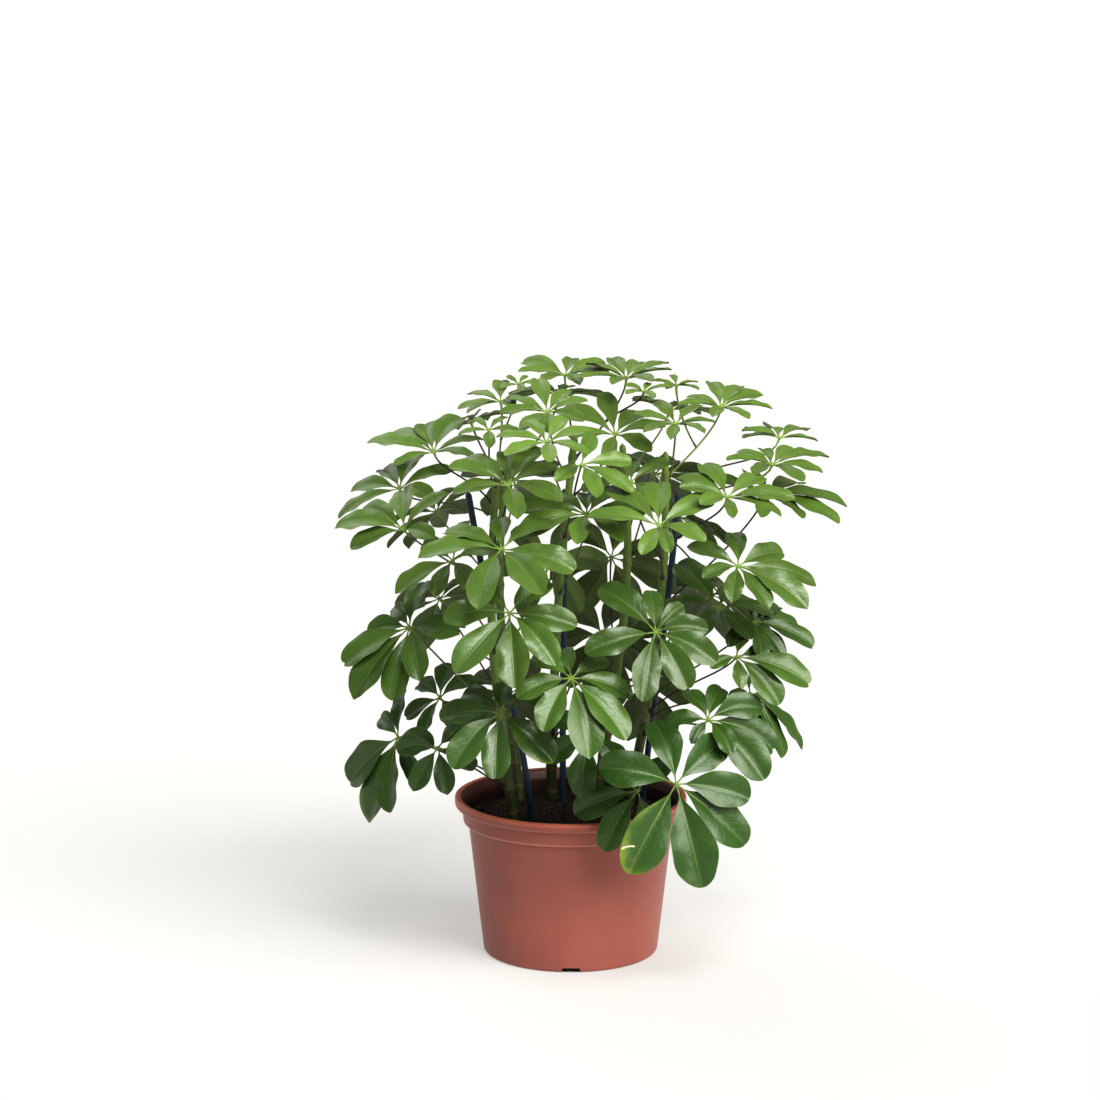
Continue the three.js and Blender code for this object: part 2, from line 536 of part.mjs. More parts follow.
for (const [name, points] of Object.entries(STEMS)) {
  stemCurves[name] = curveThrough(points);
  const grown = (extra) =>
    solid(loft(rodRings(stemCurves[name], STEM_STEPS, STEM_SIDES, STEM_FOOT_RADIUS, STEM_TOP_RADIUS, extra)));
  place("stem_" + name, grown(0), BARK);
  standing.push(grown(GAP));
  obstacles.push(obstacle(grown(CLEAR_OF_RODS), "stem_" + name));
}
for (const [name, points] of Object.entries(STAKES)) {
  const cane = (extra) =>
    solid(loft(rodRings(curveThrough(points), STAKE_STEPS, STAKE_SIDES, STAKE_RADIUS, STAKE_RADIUS, extra)));
  place("stake_" + name, cane(0), CANE);
  standing.push(cane(GAP));
  obstacles.push(obstacle(cane(CLEAR_OF_RODS), "stake_" + name));
}
const soil = soilSolid(standing);
place("soil", soil, EARTH);
obstacles.push(obstacle(soil, "soil"));

// The petioles stand before any leaflet, so that every leaflet is bent clear of all of them.
let node = 0;
const leaves = [];
for (const leaf of LEAVES) {
  const parent = leaf.stem ? null : leaves.findLast((before) => before.leaf.stem);
  if (!parent) node += 1;
  const { curve, grown } = petioleOf(leaf, parent?.curve);
  const name = "leaf_" + String(node).padStart(2, "0");
  obstacles.push(obstacle(grown(CLEAR_OF_RODS), name));
  leaves.push({ leaf, name, curve, petiole: grown(0) });
}

const bodies = new Map();
leaves.forEach(({ leaf, name, petiole }, number) => {
  const shapes = [];
  const own = [];
  for (let k = 0; k < leaf.fan.length; k++) {
    const tries = SHORTENED.flatMap((shortened) => BENDS.map((bend) => [bend, shortened]));
    tries.some(([bend, shortened]) => {
      const shape = leaflet(leaf, number, k, bend, shortened);
      const whole = obstacle(roomFor(shape, CLEAR_OF_OTHERS), name);
      const outer = obstacle(roomFor(shape, CLEAR_OF_ITS_OWN), name);
      const free =
        !obstacles.some((other) => other.owner !== name && touches(whole, other)) &&
        !own.some((other) => touches(outer, other.outer));
      if (free) own.push({ whole, outer });
      if (free) shapes.push(shape);
      return free;
    });
  }
  const body = petiole.add(umbrella(leaf, shapes));
  bodies.set(name, { body: bodies.has(name) ? bodies.get(name).body.add(body) : body, height: leaf.hub[2] });
  obstacles.push(...own.map(({ whole }) => whole));
});
bodies.forEach(({ body, height }, name) => place(name, body, height > LIGHT_ABOVE ? YOUNG_LEAF : LEAF));

export default plant;
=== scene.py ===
"""Looks of a potted umbrella plant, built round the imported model: leaves, stems, canes, soil, pot and studio.

The tables give millimetres, as the model's own source does. Every mesh is in metres, +Z up, with the pot's
underside at 0.
"""

import logging
import math
import random
from collections.abc import Callable, Iterable, Iterator, Sequence
from contextlib import contextmanager
from dataclasses import dataclass, field
from enum import Enum, IntEnum

import bmesh
import bpy
import numpy as np
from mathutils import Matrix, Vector, noise
from mathutils.bvhtree import BVHTree

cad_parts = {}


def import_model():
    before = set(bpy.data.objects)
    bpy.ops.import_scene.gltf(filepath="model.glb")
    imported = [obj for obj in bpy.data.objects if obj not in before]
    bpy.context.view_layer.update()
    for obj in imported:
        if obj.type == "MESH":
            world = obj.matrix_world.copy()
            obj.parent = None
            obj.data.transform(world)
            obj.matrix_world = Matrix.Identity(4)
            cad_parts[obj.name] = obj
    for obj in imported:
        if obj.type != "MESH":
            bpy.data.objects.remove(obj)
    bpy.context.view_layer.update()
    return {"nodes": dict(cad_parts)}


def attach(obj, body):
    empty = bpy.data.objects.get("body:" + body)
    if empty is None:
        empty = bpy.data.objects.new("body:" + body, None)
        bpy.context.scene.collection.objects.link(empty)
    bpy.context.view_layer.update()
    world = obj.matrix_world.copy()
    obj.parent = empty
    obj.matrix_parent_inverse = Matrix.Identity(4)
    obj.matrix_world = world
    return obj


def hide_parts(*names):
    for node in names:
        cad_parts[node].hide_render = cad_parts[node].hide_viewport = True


LOG = logging.getLogger("umbrella_plant")
MM = 0.001
UP = np.array([0.0, 0.0, 1.0])
GROWTH = "growth"  # the attribute for age and tone, on every piece
BLADE = "blade"  # the attribute for the place on a leaflet's blade
MERGE_WITHIN = 1e-6  # how far apart two vertices are when they are merged, in metres
SAME_PLACE = 1e-4  # how far apart two coordinates of a blank still count as one
Span = tuple[float, float]
Place = tuple[float, float, float]
Paint = tuple[float, float, float, float]


class Trait(IntEnum):
    """What a varying number is for. The first five are the model's own, by which its solids vary."""

    FAN_TURN = 1
    FAN_REACH = 2
    RISE = 3
    ROLL = 4
    TIP_FORM = 5
    SCAR_HEIGHT = 6
    TWIST = 7
    WIDTH = 8
    ARCH = 9
    WAVES = 10
    WAVE_START = 11
    LEAF_TONE = 12
    LEAFLET_TONE = 13
    YOUTH = 14
    YELLOWING = 15
    BROWNING = 16
    SWAY = 17
    CRUMB_FORM = 20


def wobble(seed: float, item: int, trait: Trait) -> float:
    """A number from -1 to 1 that looks random and is the same each time.

    Args:
        seed: what the number belongs to, such as a leaf's index.
        item: which of its parts.
        trait: what the number is for.

    Returns:
        The number, by the same rule as in the model's source.
    """
    spun = math.sin((seed + 1) * 127.1 + (item + 1) * 311.7 + trait * 74.7) * 43758.5453
    return (spun - math.floor(spun)) * 2 - 1


def unit(vector: np.ndarray) -> np.ndarray:
    """The vectors along the last axis, each at length 1."""
    return vector / np.linalg.norm(vector, axis=-1, keepdims=True)


def smooth(low: float, high: float, value: np.ndarray) -> np.ndarray:
    """An even S-curve.

    Args:
        low: the value up to which the curve is 0.
        high: the value from which it is 1.
        value: where the curve is wanted.

    Returns:
        The curve there, 0 to 1.
    """
    share = np.clip((value - low) / (high - low), 0, 1)
    return share * share * (3 - 2 * share)


def hump(value: np.ndarray | float, spread: float) -> np.ndarray | float:
    """A round hump: 1 at 0, and down to 0.37 at the spread."""
    return np.exp(-((value / spread) ** 2))


def paint(*parts: int) -> Paint:
    """A colour in the linear values that a shader takes.

    Args:
        parts: its red, green and blue as the eye reads them, 0 to 255.

    Returns:
        The colour, opaque.
    """
    linear = [((part / 255 + 0.055) / 1.055) ** 2.4 if part > 10 else part / 255 / 12.92 for part in parts]
    return (*linear, 1.0)


class Signal:
    """A shader socket that Python's operators do sums with, each adding its Math node."""

    def __init__(self, recipe: "Recipe", socket: bpy.types.NodeSocket) -> None:
        """Wraps an output socket of a recipe's material."""
        self.recipe = recipe
        self.socket = socket

    def sum(self, operation: str, *terms: "Term") -> "Signal":
        """The result of a Math node with that operation on the given terms."""
        return self.recipe.node("ShaderNodeMath", {"operation": operation}, dict(enumerate(terms)))

    def __add__(self, other: "Term") -> "Signal":
        """self + other."""
        return self.sum("ADD", self, other)

    def __sub__(self, other: "Term") -> "Signal":
        """self - other."""
        return self.sum("SUBTRACT", self, other)

    def __rsub__(self, other: "Term") -> "Signal":
        """other - self."""
        return self.sum("SUBTRACT", other, self)

    def __mul__(self, other: "Term") -> "Signal":
        """self * other."""
        return self.sum("MULTIPLY", self, other)

    __radd__ = __add__
    __rmul__ = __mul__

    def size(self) -> "Signal":
        """The value without its sign."""
        return self.sum("ABSOLUTE", self)

    def root(self) -> "Signal":
        """The square root."""
        return self.sum("SQRT", self)

    def near(self, value: float, full: float, none: float) -> "Signal":
        """1 where this value lies within full of the given one, falling to 0 at none away from it."""
        return (self - value).size().ramp(full, none, 1.0, 0.0)

    def part(self) -> "Signal":
        """What is left after the last whole number."""
        return self.sum("FRACT", self)

    def ramp(self, low: float, high: float, start: float = 0.0, end: float = 1.0) -> "Signal":
        """An even S-curve over this value.

        Args:
            low: the value up to which the curve stays at its start.
            high: the value from which it stays at its end.
            start: what the curve is at and below low.
            end: what it is at and above high.

        Returns:
            The curve.
        """
        terms = {"Value": self, "From Min": low, "From Max": high, "To Min": start, "To Max": end}
        return self.recipe.node("ShaderNodeMapRange", {"interpolation_type": "SMOOTHSTEP"}, terms)


Term = Signal | float
Tint = Signal | Paint


class Recipe:
    """One procedural material, made node by node, with a Principled surface at its end."""

    def __init__(self, name: str) -> None:
        """Starts an empty material.

        Args:
            name: its name.
        """
        self.material = bpy.data.materials.new(name)
        self.material.use_nodes = True
        self.tree = self.material.node_tree
        self.tree.nodes.clear()

    def node(self, kind: str, settings: dict[str, object] | None = None,
             sockets: dict[str | int, object] | None = None, output: str | int = 0) -> Signal:
        """Adds a node of any type.

        Args:
            kind: its type.
            settings: what is set on the node itself, before its sockets.
            sockets: the value of each input, or the signal that feeds it.
            output: the output that is wanted.

        Returns:
            That output.
        """
        made = self.tree.nodes.new(kind)
        for name, value in (settings or {}).items():
            setattr(made, name, value)
        for name, value in (sockets or {}).items():
            if isinstance(value, Signal):
                self.tree.links.new(value.socket, made.inputs[name])
            else:
                made.inputs[name].default_value = value
        return Signal(self, made.outputs[output])

    def place(self) -> Signal:
        """The point on the object, in metres."""
        return self.node("ShaderNodeTexCoord", output="Object")

    def split(self, vector: Signal) -> tuple[Signal, Signal, Signal]:
        """The three parts of a vector.

        Args:
            vector: the vector.

        Returns:
            Its x, y and z.
        """
        first = self.node("ShaderNodeSeparateXYZ", sockets={0: vector})
        second, third = (Signal(self, first.socket.node.outputs[part]) for part in (1, 2))
        return first, second, third

    def from_axis(self) -> tuple[Signal, Signal]:
        """The distance from the pot's axis and the height above its underside, in metres."""
        x, y, z = self.split(self.place())
        return (x * x + y * y).root(), z

    def attribute(self, name: str) -> Signal:
        """A colour attribute of the mesh, as a vector."""
        return self.node("ShaderNodeAttribute", {"attribute_name": name}, output="Vector")

    def grain(self, scale: float, detail: float = 2.0, roughness: float = 0.5,
              stretch: Place | None = None) -> Signal:
        """Soft noise on the object.

        Args:
            scale: how many spots it has to the metre.
            detail: how many finer layers it has.
            roughness: how strong each finer layer is.
            stretch: how much finer it is along each axis, for a pattern that runs along one of them.

        Returns:
            The noise, 0 to 1.
        """
        where = self.place()
        if stretch:
            where = self.node("ShaderNodeMapping", sockets={"Vector": where, "Scale": stretch})
        sockets = {"Vector": where, "Scale": scale, "Detail": detail, "Roughness": roughness}
        return self.node("ShaderNodeTexNoise", sockets=sockets)

    def blend(self, share: Term, first: Tint, second: Tint) -> Signal:
        """A colour that goes from first to second as share goes from 0 to 1."""
        return self.node("ShaderNodeMix", {"data_type": "RGBA"}, {0: share, 6: first, 7: second}, 2)

    def shade(self, colour: Signal, strength: Signal) -> Signal:
        """A colour made lighter or darker by a factor."""
        return self.node("ShaderNodeVectorMath", {"operation": "SCALE"}, {0: colour, "Scale": strength})

    def relief(self, height: Signal, depth: float) -> Signal:
        """A normal for bumps whose height of 1 is that deep, in metres."""
        return self.node("ShaderNodeBump", sockets={"Height": height, "Distance": depth, "Strength": 1.0})

    def surface(self, sockets: dict[str, object]) -> Signal:
        """The Principled shader with those sockets."""
        return self.node("ShaderNodeBsdfPrincipled", sockets=sockets)

    def finish(self, shader: Signal) -> bpy.types.Material:
        """Ends the material.

        Args:
            shader: the shader that its surface takes.

        Returns:
            The material.
        """
        output = self.tree.nodes.new("ShaderNodeOutputMaterial")
        self.tree.links.new(shader.socket, output.inputs["Surface"])
        return self.material


@dataclass(frozen=True)
class BladeFinish:
    """One face of a leaflet's blade: waxy green with a pale rib, fine side veins and a lighter edge.

    A place on the blade is a share of its half-width, to the right, and a share of its length, from the hub.
    """

    name: str
    grown: Paint
    young: Paint
    rib: Paint
    roughness: float
    wax: float
    bump_depth: float
    rib_show: float
    glow: Paint = paint(140, 165, 30)
    glow_share: float = 0.15
    lime: Paint = paint(120, 138, 42)
    scorched: Paint = paint(112, 78, 42)
    healed: Paint = paint(232, 222, 180)
    patches: float = 60.0
    specks: float = 560.0
    rib_width: Span = (0.012, 0.06)
    side_veins: float = 9.0
    vein_slant: float = 0.2
    vein_bow: float = 0.06
    vein_stagger: float = 0.45
    edge: Span = (0.92, 1.0)
    crack_at: float = 0.8
    crack_slant: float = 0.1
    crack_width: Span = (0.005, 0.012)
    crack_start: Span = (0.28, 0.36)
    crack_end: Span = (0.78, 0.88)
    cracked_when: Span = (0.74, 0.78)

    def material(self) -> bpy.types.Material:
        """Makes the finish from the leaflet's two attributes.

        Returns:
            The material. The blade attribute holds the place on the blade: to the side, along it, and how
            close to the edge. The growth attribute holds youth, tone and yellowing, each 0 to 1.
        """
        mix = Recipe(self.name)
        x, share, outward = mix.split(mix.attribute(BLADE))
        youth, tone, yellowing = mix.split(mix.attribute(GROWTH))
        patches = mix.grain(self.patches, 3.0)
        specks = mix.grain(self.specks)
        side = x.size()

        rib = side.ramp(*self.rib_width, 1.0, 0.0) * share.ramp(0.2, 1.0, 1.0, 0.3)
        rising = share - side * self.vein_slant - side * side * self.vein_bow + patches * 0.02
        rows = rising * self.side_veins + x.ramp(-0.01, 0.01) * self.vein_stagger
        veins = (rows.part() * 2 - 1).size().ramp(0.78, 1.0) * outward.ramp(0.7, 1.0, 1.0, 0.0)

        green = mix.blend(youth, self.grown, self.young)
        green = mix.shade(green, tone * 0.6 + patches * 0.35 + specks * 0.15 + 0.45)
        pale = rib * self.rib_show + veins * 0.02 + outward.ramp(*self.edge) * 0.16
        green = mix.blend(pale, green, self.rib)
        one_half = x.ramp(-0.06, 0.04, 0.2, 1.0)
        aged = outward.ramp(0.3, 1.0) * one_half * 0.6 + share.ramp(0.6, 1.0) * 0.45 + patches * 0.8
        aged = aged * yellowing
        green = mix.blend(aged.ramp(0.55, 1.0) * 0.75, green, self.lime)
        green = mix.blend(aged.ramp(1.12, 1.25), green, self.scorched)
        crack = (share - x * self.crack_slant + patches * 0.14).near(self.crack_at, *self.crack_width)
        crack = crack * x.ramp(*self.crack_start) * x.ramp(*self.crack_end, 1.0, 0.0)
        green = mix.blend(crack * yellowing.ramp(*self.cracked_when), green, self.healed)

        height = patches * 0.8 + specks * 0.5 - veins * 0.18 - rib * 0.8
        shine = specks * 0.14 + patches * 0.12 + (self.roughness - 0.13)
        skin = mix.surface({
            "Base Color": green, "Roughness": shine, "Normal": mix.relief(height, self.bump_depth),
            "IOR": 1.52, "Coat Weight": self.wax, "Coat Roughness": 0.24,
        })
        light = mix.node("ShaderNodeBsdfTranslucent", sockets={"Color": self.glow})
        return mix.finish(mix.node("ShaderNodeMixShader", sockets={0: self.glow_share, 1: skin, 2: light}))


@dataclass(frozen=True)
class StalkFinish:
    """Petioles, leaflet stalks and hubs: smooth green, paler and yellower at the hub, browner with age."""

    name: str = "leaf_stalk"
    grown: Paint = paint(74, 94, 40)
    young: Paint = paint(124, 150, 68)
    aged: Paint = paint(50, 36, 30)
    patches: float = 160.0
    specks: float = 1200.0
    bump_depth: float = 0.0002

    def material(self) -> bpy.types.Material:
        """Makes the finish.

        Returns:
            The material. The growth attribute holds youth, closeness to the hub, and browning, each 0 to 1.
        """
        mix = Recipe(self.name)
        youth, hub, browning = mix.split(mix.attribute(GROWTH))
        patches = mix.grain(self.patches, 3.0)
        specks = mix.grain(self.specks)
        green = mix.blend(youth * 0.5 + hub * 0.6, self.grown, self.young)
        green = mix.blend((browning * 1.6 + patches * 0.5 - 0.5).ramp(0.0, 1.0), green, self.aged)
        green = mix.shade(green, patches * 0.3 + specks * 0.2 + 0.75)
        return mix.finish(mix.surface({
            "Base Color": green, "Roughness": specks * 0.2 + 0.38, "IOR": 1.45,
            "Normal": mix.relief(specks + patches, self.bump_depth),
        }))


@dataclass(frozen=True)
class StemFinish:
    """The thick stems: green, ringed with leaf scars, with corky brown creeping up from the soil. Metres."""

    name: str = "green_stem"
    green: Paint = paint(82, 104, 46)
    shoot: Paint = paint(104, 130, 56)
    cork: Paint = paint(64, 72, 36)
    scar: Paint = paint(112, 104, 66)
    pore: Paint = paint(150, 146, 108)
    shoot_from: Span = (0.2, 0.5)
    cork_up_to: Span = (0.14, 0.36)
    cork_share: Span = (0.35, -0.25)
    streaks: float = 90.0
    streak_stretch: Place = (6.0, 6.0, 1.0)
    pores: float = 420.0
    bump_depth: float = 0.0005

    def material(self) -> bpy.types.Material:
        """Makes the finish.

        Returns:
            The material. The growth attribute's second part marks the scars.
        """
        mix = Recipe(self.name)
        _, height = mix.from_axis()
        _, scar, _ = mix.split(mix.attribute(GROWTH))
        streak = mix.grain(self.streaks, 4.0, 0.6, self.streak_stretch)
        spots = mix.grain(self.pores)
        body = mix.blend(height.ramp(*self.shoot_from), self.green, self.shoot)
        corky = streak + height.ramp(*self.cork_up_to, *self.cork_share)
        body = mix.blend(corky.ramp(0.45, 0.8), body, self.cork)
        body = mix.blend(scar * 0.75, body, self.scar)
        body = mix.blend(spots.ramp(0.66, 0.74) * 0.5, body, self.pore)
        body = mix.shade(body, streak * 0.4 + spots * 0.2 + 0.7)
        return mix.finish(mix.surface({
            "Base Color": body, "Roughness": streak * 0.2 + 0.42, "IOR": 1.45,
            "Normal": mix.relief(streak + spots * 0.5 + scar, self.bump_depth),
        }))


@dataclass(frozen=True)
class CaneFinish:
    """The canes: dark blue-green plastic with faint lengthwise draw marks, dust and soil dirt on the foot.
    Metres.
    """

    name: str = "cane_plastic"
    base: Paint = paint(20, 48, 66)
    dust: Paint = paint(86, 104, 108)
    # the soil's dirt on the cane's foot
    dirt_and_shade: Paint = paint(48, 34, 24)
    soiled_up_to: Span = (0.15, 0.2)
    draw_marks: float = 140.0
    draw_stretch: Place = (14.0, 14.0, 0.5)
    specks: float = 700.0
    bump_depth: float = 0.0003

    def material(self) -> bpy.types.Material:
        """Makes the finish.

        Returns:
            The material, on Object coordinates drawn out along the cane.
        """
        mix = Recipe(self.name)
        _, height = mix.from_axis()
        lines = mix.grain(self.draw_marks, 3.0, 0.6, self.draw_stretch)
        specks = mix.grain(self.specks)
        colour = mix.blend(specks.ramp(0.55, 0.8) * 0.3, self.base, self.dust)
        soil = height.ramp(*self.soiled_up_to, 0.5, 0.0) * specks.ramp(0.4, 0.6)
        colour = mix.shade(mix.blend(soil, colour, self.dirt_and_shade), lines * 0.5 + 0.75)
        return mix.finish(mix.surface({
            "Base Color": colour, "Roughness": specks * 0.2 + 0.36, "IOR": 1.48,
            "Normal": mix.relief(lines, self.bump_depth),
        }))


@dataclass(frozen=True)
class PotFinish:
    """The pot's terracotta-coloured plastic: satin and finely grained, with painted highlights on its lip and
    ledges, dust near its foot, and painted shade inside it and in its notches.

    Radii and heights are in metres. A pair is where a mask starts and where it is full.
    """

    name: str = "terracotta_plastic"
    base: Paint = paint(156, 91, 78)
    deep: Paint = paint(148, 85, 73)
    # the lighter orange of the painted highlight along the lip's crest
    second_tone: Paint = paint(206, 118, 90)
    # the lighter colour of the painted highlight lines on the ledges, also used for the dust near the foot
    highlight_and_dust: Paint = paint(196, 128, 112)
    # the near-black of the painted shade inside the pot and in its notches
    dirt_and_shade: Paint = paint(34, 15, 10)
    # heights of the painted highlight on the lip's crest
    lip_crest: Span = (0.1595, 0.1635)
    lip_outside: Span = (0.1130, 0.1155)
    # heights of the painted highlight lines: the collar's ledge and the lip's underside
    ledges: Span = (0.1397, 0.1555)
    ledge_width: Span = (0.0005, 0.0014)
    body_outside: Span = (0.1050, 0.1058)
    collar_rise: Span = (0.1365, 0.1395)
    collar_overhang: float = 0.0055
    inside_from: Span = (0.1375, 0.1385)
    inside_radius: Span = (0.1099, 0.1108)
    lip_rise: Span = (0.1535, 0.1645)
    lip_overhang: float = 0.0042
    # how strong the painted shade is from the lower to the upper height of the inside: darker further down
    painted_inside_shade: tuple[float, float, float, float] = (0.142, 0.164, 0.85, 0.55)
    notch_top: Span = (0.0048, 0.0056)
    notch_depth: Span = (0.0880, 0.0886)
    dusty_foot: tuple[float, float, float, float] = (0.0, 0.05, 0.25, 0.08)
    mould_stretch: Place = (0.15, 0.15, 2.4)
    scuff_stretch: Place = (1.0, 1.0, 0.3)
    bump_depth: float = 0.0002

    def material(self) -> bpy.types.Material:
        """Makes the finish from the point on the pot: its height and its distance from the axis.

        Returns:
            The material.
        """
        mix = Recipe(self.name)
        radius, height = mix.from_axis()
        cloud = mix.grain(14.0, 3.0)
        bands = mix.grain(60.0, 3.0, 0.6, self.mould_stretch)
        fine = mix.grain(1500.0)
        scuff = mix.grain(90.0, 5.0, 0.7, self.scuff_stretch)
        colour = mix.blend(cloud.ramp(0.3, 0.7), self.deep, self.base)
        # painted highlight: a lighter orange band along the outer crest of the lip, where the light catches it
        crest = height.ramp(*self.lip_crest) * radius.ramp(*self.lip_outside)
        colour = mix.blend(crest * (cloud * 0.5 + 0.4), colour, self.second_tone)
        # painted highlights: thin lighter lines along the collar's ledge and the lip's underside
        lower, upper = (height.near(ledge, *self.ledge_width) for ledge in self.ledges)
        flush = radius - height.ramp(*self.collar_rise, 0.0, self.collar_overhang)
        outside = flush.ramp(*self.body_outside)
        colour = mix.blend((lower + upper) * outside * (scuff * 0.4 + 0.5), colour, self.highlight_and_dust)
        # dust near the foot, in the same lighter colour
        colour = mix.blend(scuff.ramp(0.6, 0.78) * height.ramp(*self.dusty_foot), colour, self.highlight_and_dust)
        # painted shade: the inside wall, darker further down, and the faces of the notches are darkened,
        # mottled by noise
        flush = radius - height.ramp(*self.lip_rise, 0.0, self.lip_overhang)
        wall = flush.ramp(*self.inside_radius, 1.0, 0.0)
        notch = height.ramp(*self.notch_top, 1.0, 0.0) * radius.ramp(*self.notch_depth, 1.0, 0.0)
        shaded_inside = height.ramp(*self.inside_from) * wall + notch
        colour = mix.blend(shaded_inside * (scuff * 0.3 + height.ramp(*self.painted_inside_shade)), colour, self.dirt_and_shade)
        colour = mix.shade(colour, bands * 0.08 + fine * 0.08 + 0.92)
        return mix.finish(mix.surface({
            "Base Color": colour, "Roughness": bands * 0.12 + fine * 0.1 + scuff * 0.12 + 0.27, "IOR": 1.49,
            "Normal": mix.relief(fine * 0.5 + bands * 0.8, self.bump_depth),
            "Coat Weight": 0.06, "Coat Roughness": 0.25,
        }))


@dataclass(frozen=True)
class SoilFinish:
    """Potting soil: near-black peat with tan fibres and pale grit."""

    name: str = "potting_soil"
    peat: Paint = paint(19, 15, 11)
    fibre: Paint = paint(124, 94, 60)
    grit: Paint = paint(140, 110, 78)
    lumps: float = 140.0
    crumbs: float = 620.0
    bump_depth: float = 0.002

    def material(self) -> bpy.types.Material:
        """Makes the finish.

        Returns:
            The material. The growth attribute holds a crumb's tone and how dry it is, each 0 to 1.
        """
        mix = Recipe(self.name)
        tone, dry, _ = mix.split(mix.attribute(GROWTH))
        lumps = mix.grain(self.lumps, 5.0, 0.7)
        crumbs = mix.grain(self.crumbs, 4.0, 0.7)
        fibrous = (lumps * 0.6 + crumbs * 0.5).ramp(0.5, 0.95) * 0.4 + dry * 0.6
        colour = mix.blend(fibrous, self.peat, self.fibre)
        colour = mix.blend(crumbs.ramp(0.68, 0.76) * 0.4, colour, self.grit)
        colour = mix.shade(colour, tone * 0.7 + crumbs * 0.7 + 0.3)
        return mix.finish(mix.surface({
            "Base Color": colour, "Roughness": crumbs * 0.15 + 0.82, "Specular IOR Level": 0.25,
            "Normal": mix.relief(crumbs + lumps, self.bump_depth),
        }))


@dataclass(frozen=True)
class FloorFinish:
    """The studio's pale seamless floor. It glows with painted light that lightens and warms the shadows cast on
    it, and the glow is taken away under the pot as painted shade.
    """

    name: str = "studio_floor"
    base: Paint = (0.32, 0.318, 0.315, 1.0)
    second_tone: Paint = (0.31, 0.308, 0.305, 1.0)
    # strength of the floor's glow: painted light that lifts its shadows and lights the plant from below
    glow: float = 0.49
    # the glow's warm tint, which is the painted colour of the floor's shadows
    painted_fill_tint: Paint = (1.0, 0.983, 0.945, 1.0)
    dark: Paint = (0.0, 0.0, 0.0, 1.0)
    # radii in metres over which the glow fades out under the pot: painted shade, dark where the floor shows
    # through the notches
    painted_shade_under_pot: Span = (0.0849, 0.0894)

    def material(self) -> bpy.types.Material:
        """Makes the finish: matt, with the faintest unevenness, and the painted glow that fades out under the
        pot.

        Returns:
            The material.
        """
        mix = Recipe(self.name)
        radius, _ = mix.from_axis()
        # painted light: the floor glows, except under the pot, where the missing glow is painted shade
        glow = mix.blend(radius.ramp(*self.painted_shade_under_pot, 1.0, 0.0), self.painted_fill_tint, self.dark)
        return mix.finish(mix.surface({
            "Base Color": mix.blend(mix.grain(0.7), self.base, self.second_tone), "Roughness": 0.9,
            "Specular IOR Level": 0.1, "Emission Color": glow, "Emission Strength": self.glow,
        }))


@dataclass(frozen=True)
class Finishes:
    """The materials that several pieces share."""

    upper: bpy.types.Material
    under: bpy.types.Material
    stalk: bpy.types.Material


def deselect() -> None:
    """Leaves nothing selected, so that the next operator acts on its own object only."""
    if bpy.context.object and bpy.context.object.mode != "OBJECT":
        bpy.ops.object.mode_set(mode="OBJECT")
    bpy.ops.object.select_all(action="DESELECT")


def make_active(piece: bpy.types.Object) -> None:
    """Selects one piece alone and makes it the active one.

    Args:
        piece: the piece.
    """
    deselect()
    piece.select_set(True)
    bpy.context.view_layer.objects.active = piece


@contextmanager
def edited(piece: bpy.types.Object) -> Iterator[None]:
    """Opens a piece in edit mode for the length of a with block.

    Args:
        piece: the piece, all of which is selected at first.

    Yields:
        Nothing.
    """
    make_active(piece)
    bpy.ops.object.mode_set(mode="EDIT")
    bpy.ops.mesh.select_all(action="SELECT")
    yield
    bpy.ops.object.mode_set(mode="OBJECT")


def pick(piece: bpy.types.Object, wanted: Callable[[Vector], bool]) -> None:
    """Selects, in edit mode, the vertices whose place passes a test.

    Args:
        piece: the object in edit mode.
        wanted: the test.
    """
    shape = bmesh.from_edit_mesh(piece.data)
    for vertex in shape.verts:
        vertex.select = wanted(vertex.co)
    shape.select_flush_mode()
    bmesh.update_edit_mesh(piece.data)


def settle(piece: bpy.types.Object) -> None:
    """Puts the place of a piece into its mesh, so that its object sits at the origin."""
    make_active(piece)
    bpy.ops.object.transform_apply(location=True, rotation=True, scale=True)


def smooth_shade(piece: bpy.types.Object, degrees: float) -> None:
    """Shades a piece smooth, with edges sharper than that left crisp."""
    make_active(piece)
    bpy.ops.object.shade_smooth_by_angle(angle=math.radians(degrees))


def outward(piece: bpy.types.Object) -> None:
    """Merges a closed piece's doubles and turns its faces outward.

    Args:
        piece: the piece.
    """
    with edited(piece):
        bpy.ops.mesh.remove_doubles(threshold=MERGE_WITHIN)
        bpy.ops.mesh.normals_make_consistent(inside=False)


def points_of(piece: bpy.types.Object) -> np.ndarray:
    """The places of a mesh's vertices.

    Args:
        piece: the piece.

    Returns:
        One row of three for each vertex.
    """
    flat = np.zeros(len(piece.data.vertices) * 3)
    piece.data.vertices.foreach_get("co", flat)
    return flat.reshape(-1, 3)


def mark(piece: bpy.types.Object, values: np.ndarray | Sequence[float], name: str = GROWTH) -> None:
    """Writes an attribute that a material reads.

    Args:
        piece: the piece.
        values: one row of three for the whole piece, or one for each vertex.
        name: the attribute's name.
    """
    rows = np.ones((len(piece.data.vertices), 4))
    rows[:, :3] = values
    layer = piece.data.attributes.get(name) or piece.data.attributes.new(name, "FLOAT_COLOR", "POINT")
    layer.data.foreach_set("color", rows.ravel())


def named(piece: bpy.types.Object, name: str) -> bpy.types.Object:
    """Names a piece and its mesh.

    Args:
        piece: the piece.
        name: the name of both.

    Returns:
        The piece.
    """
    piece.name = name
    piece.data.name = name
    return piece


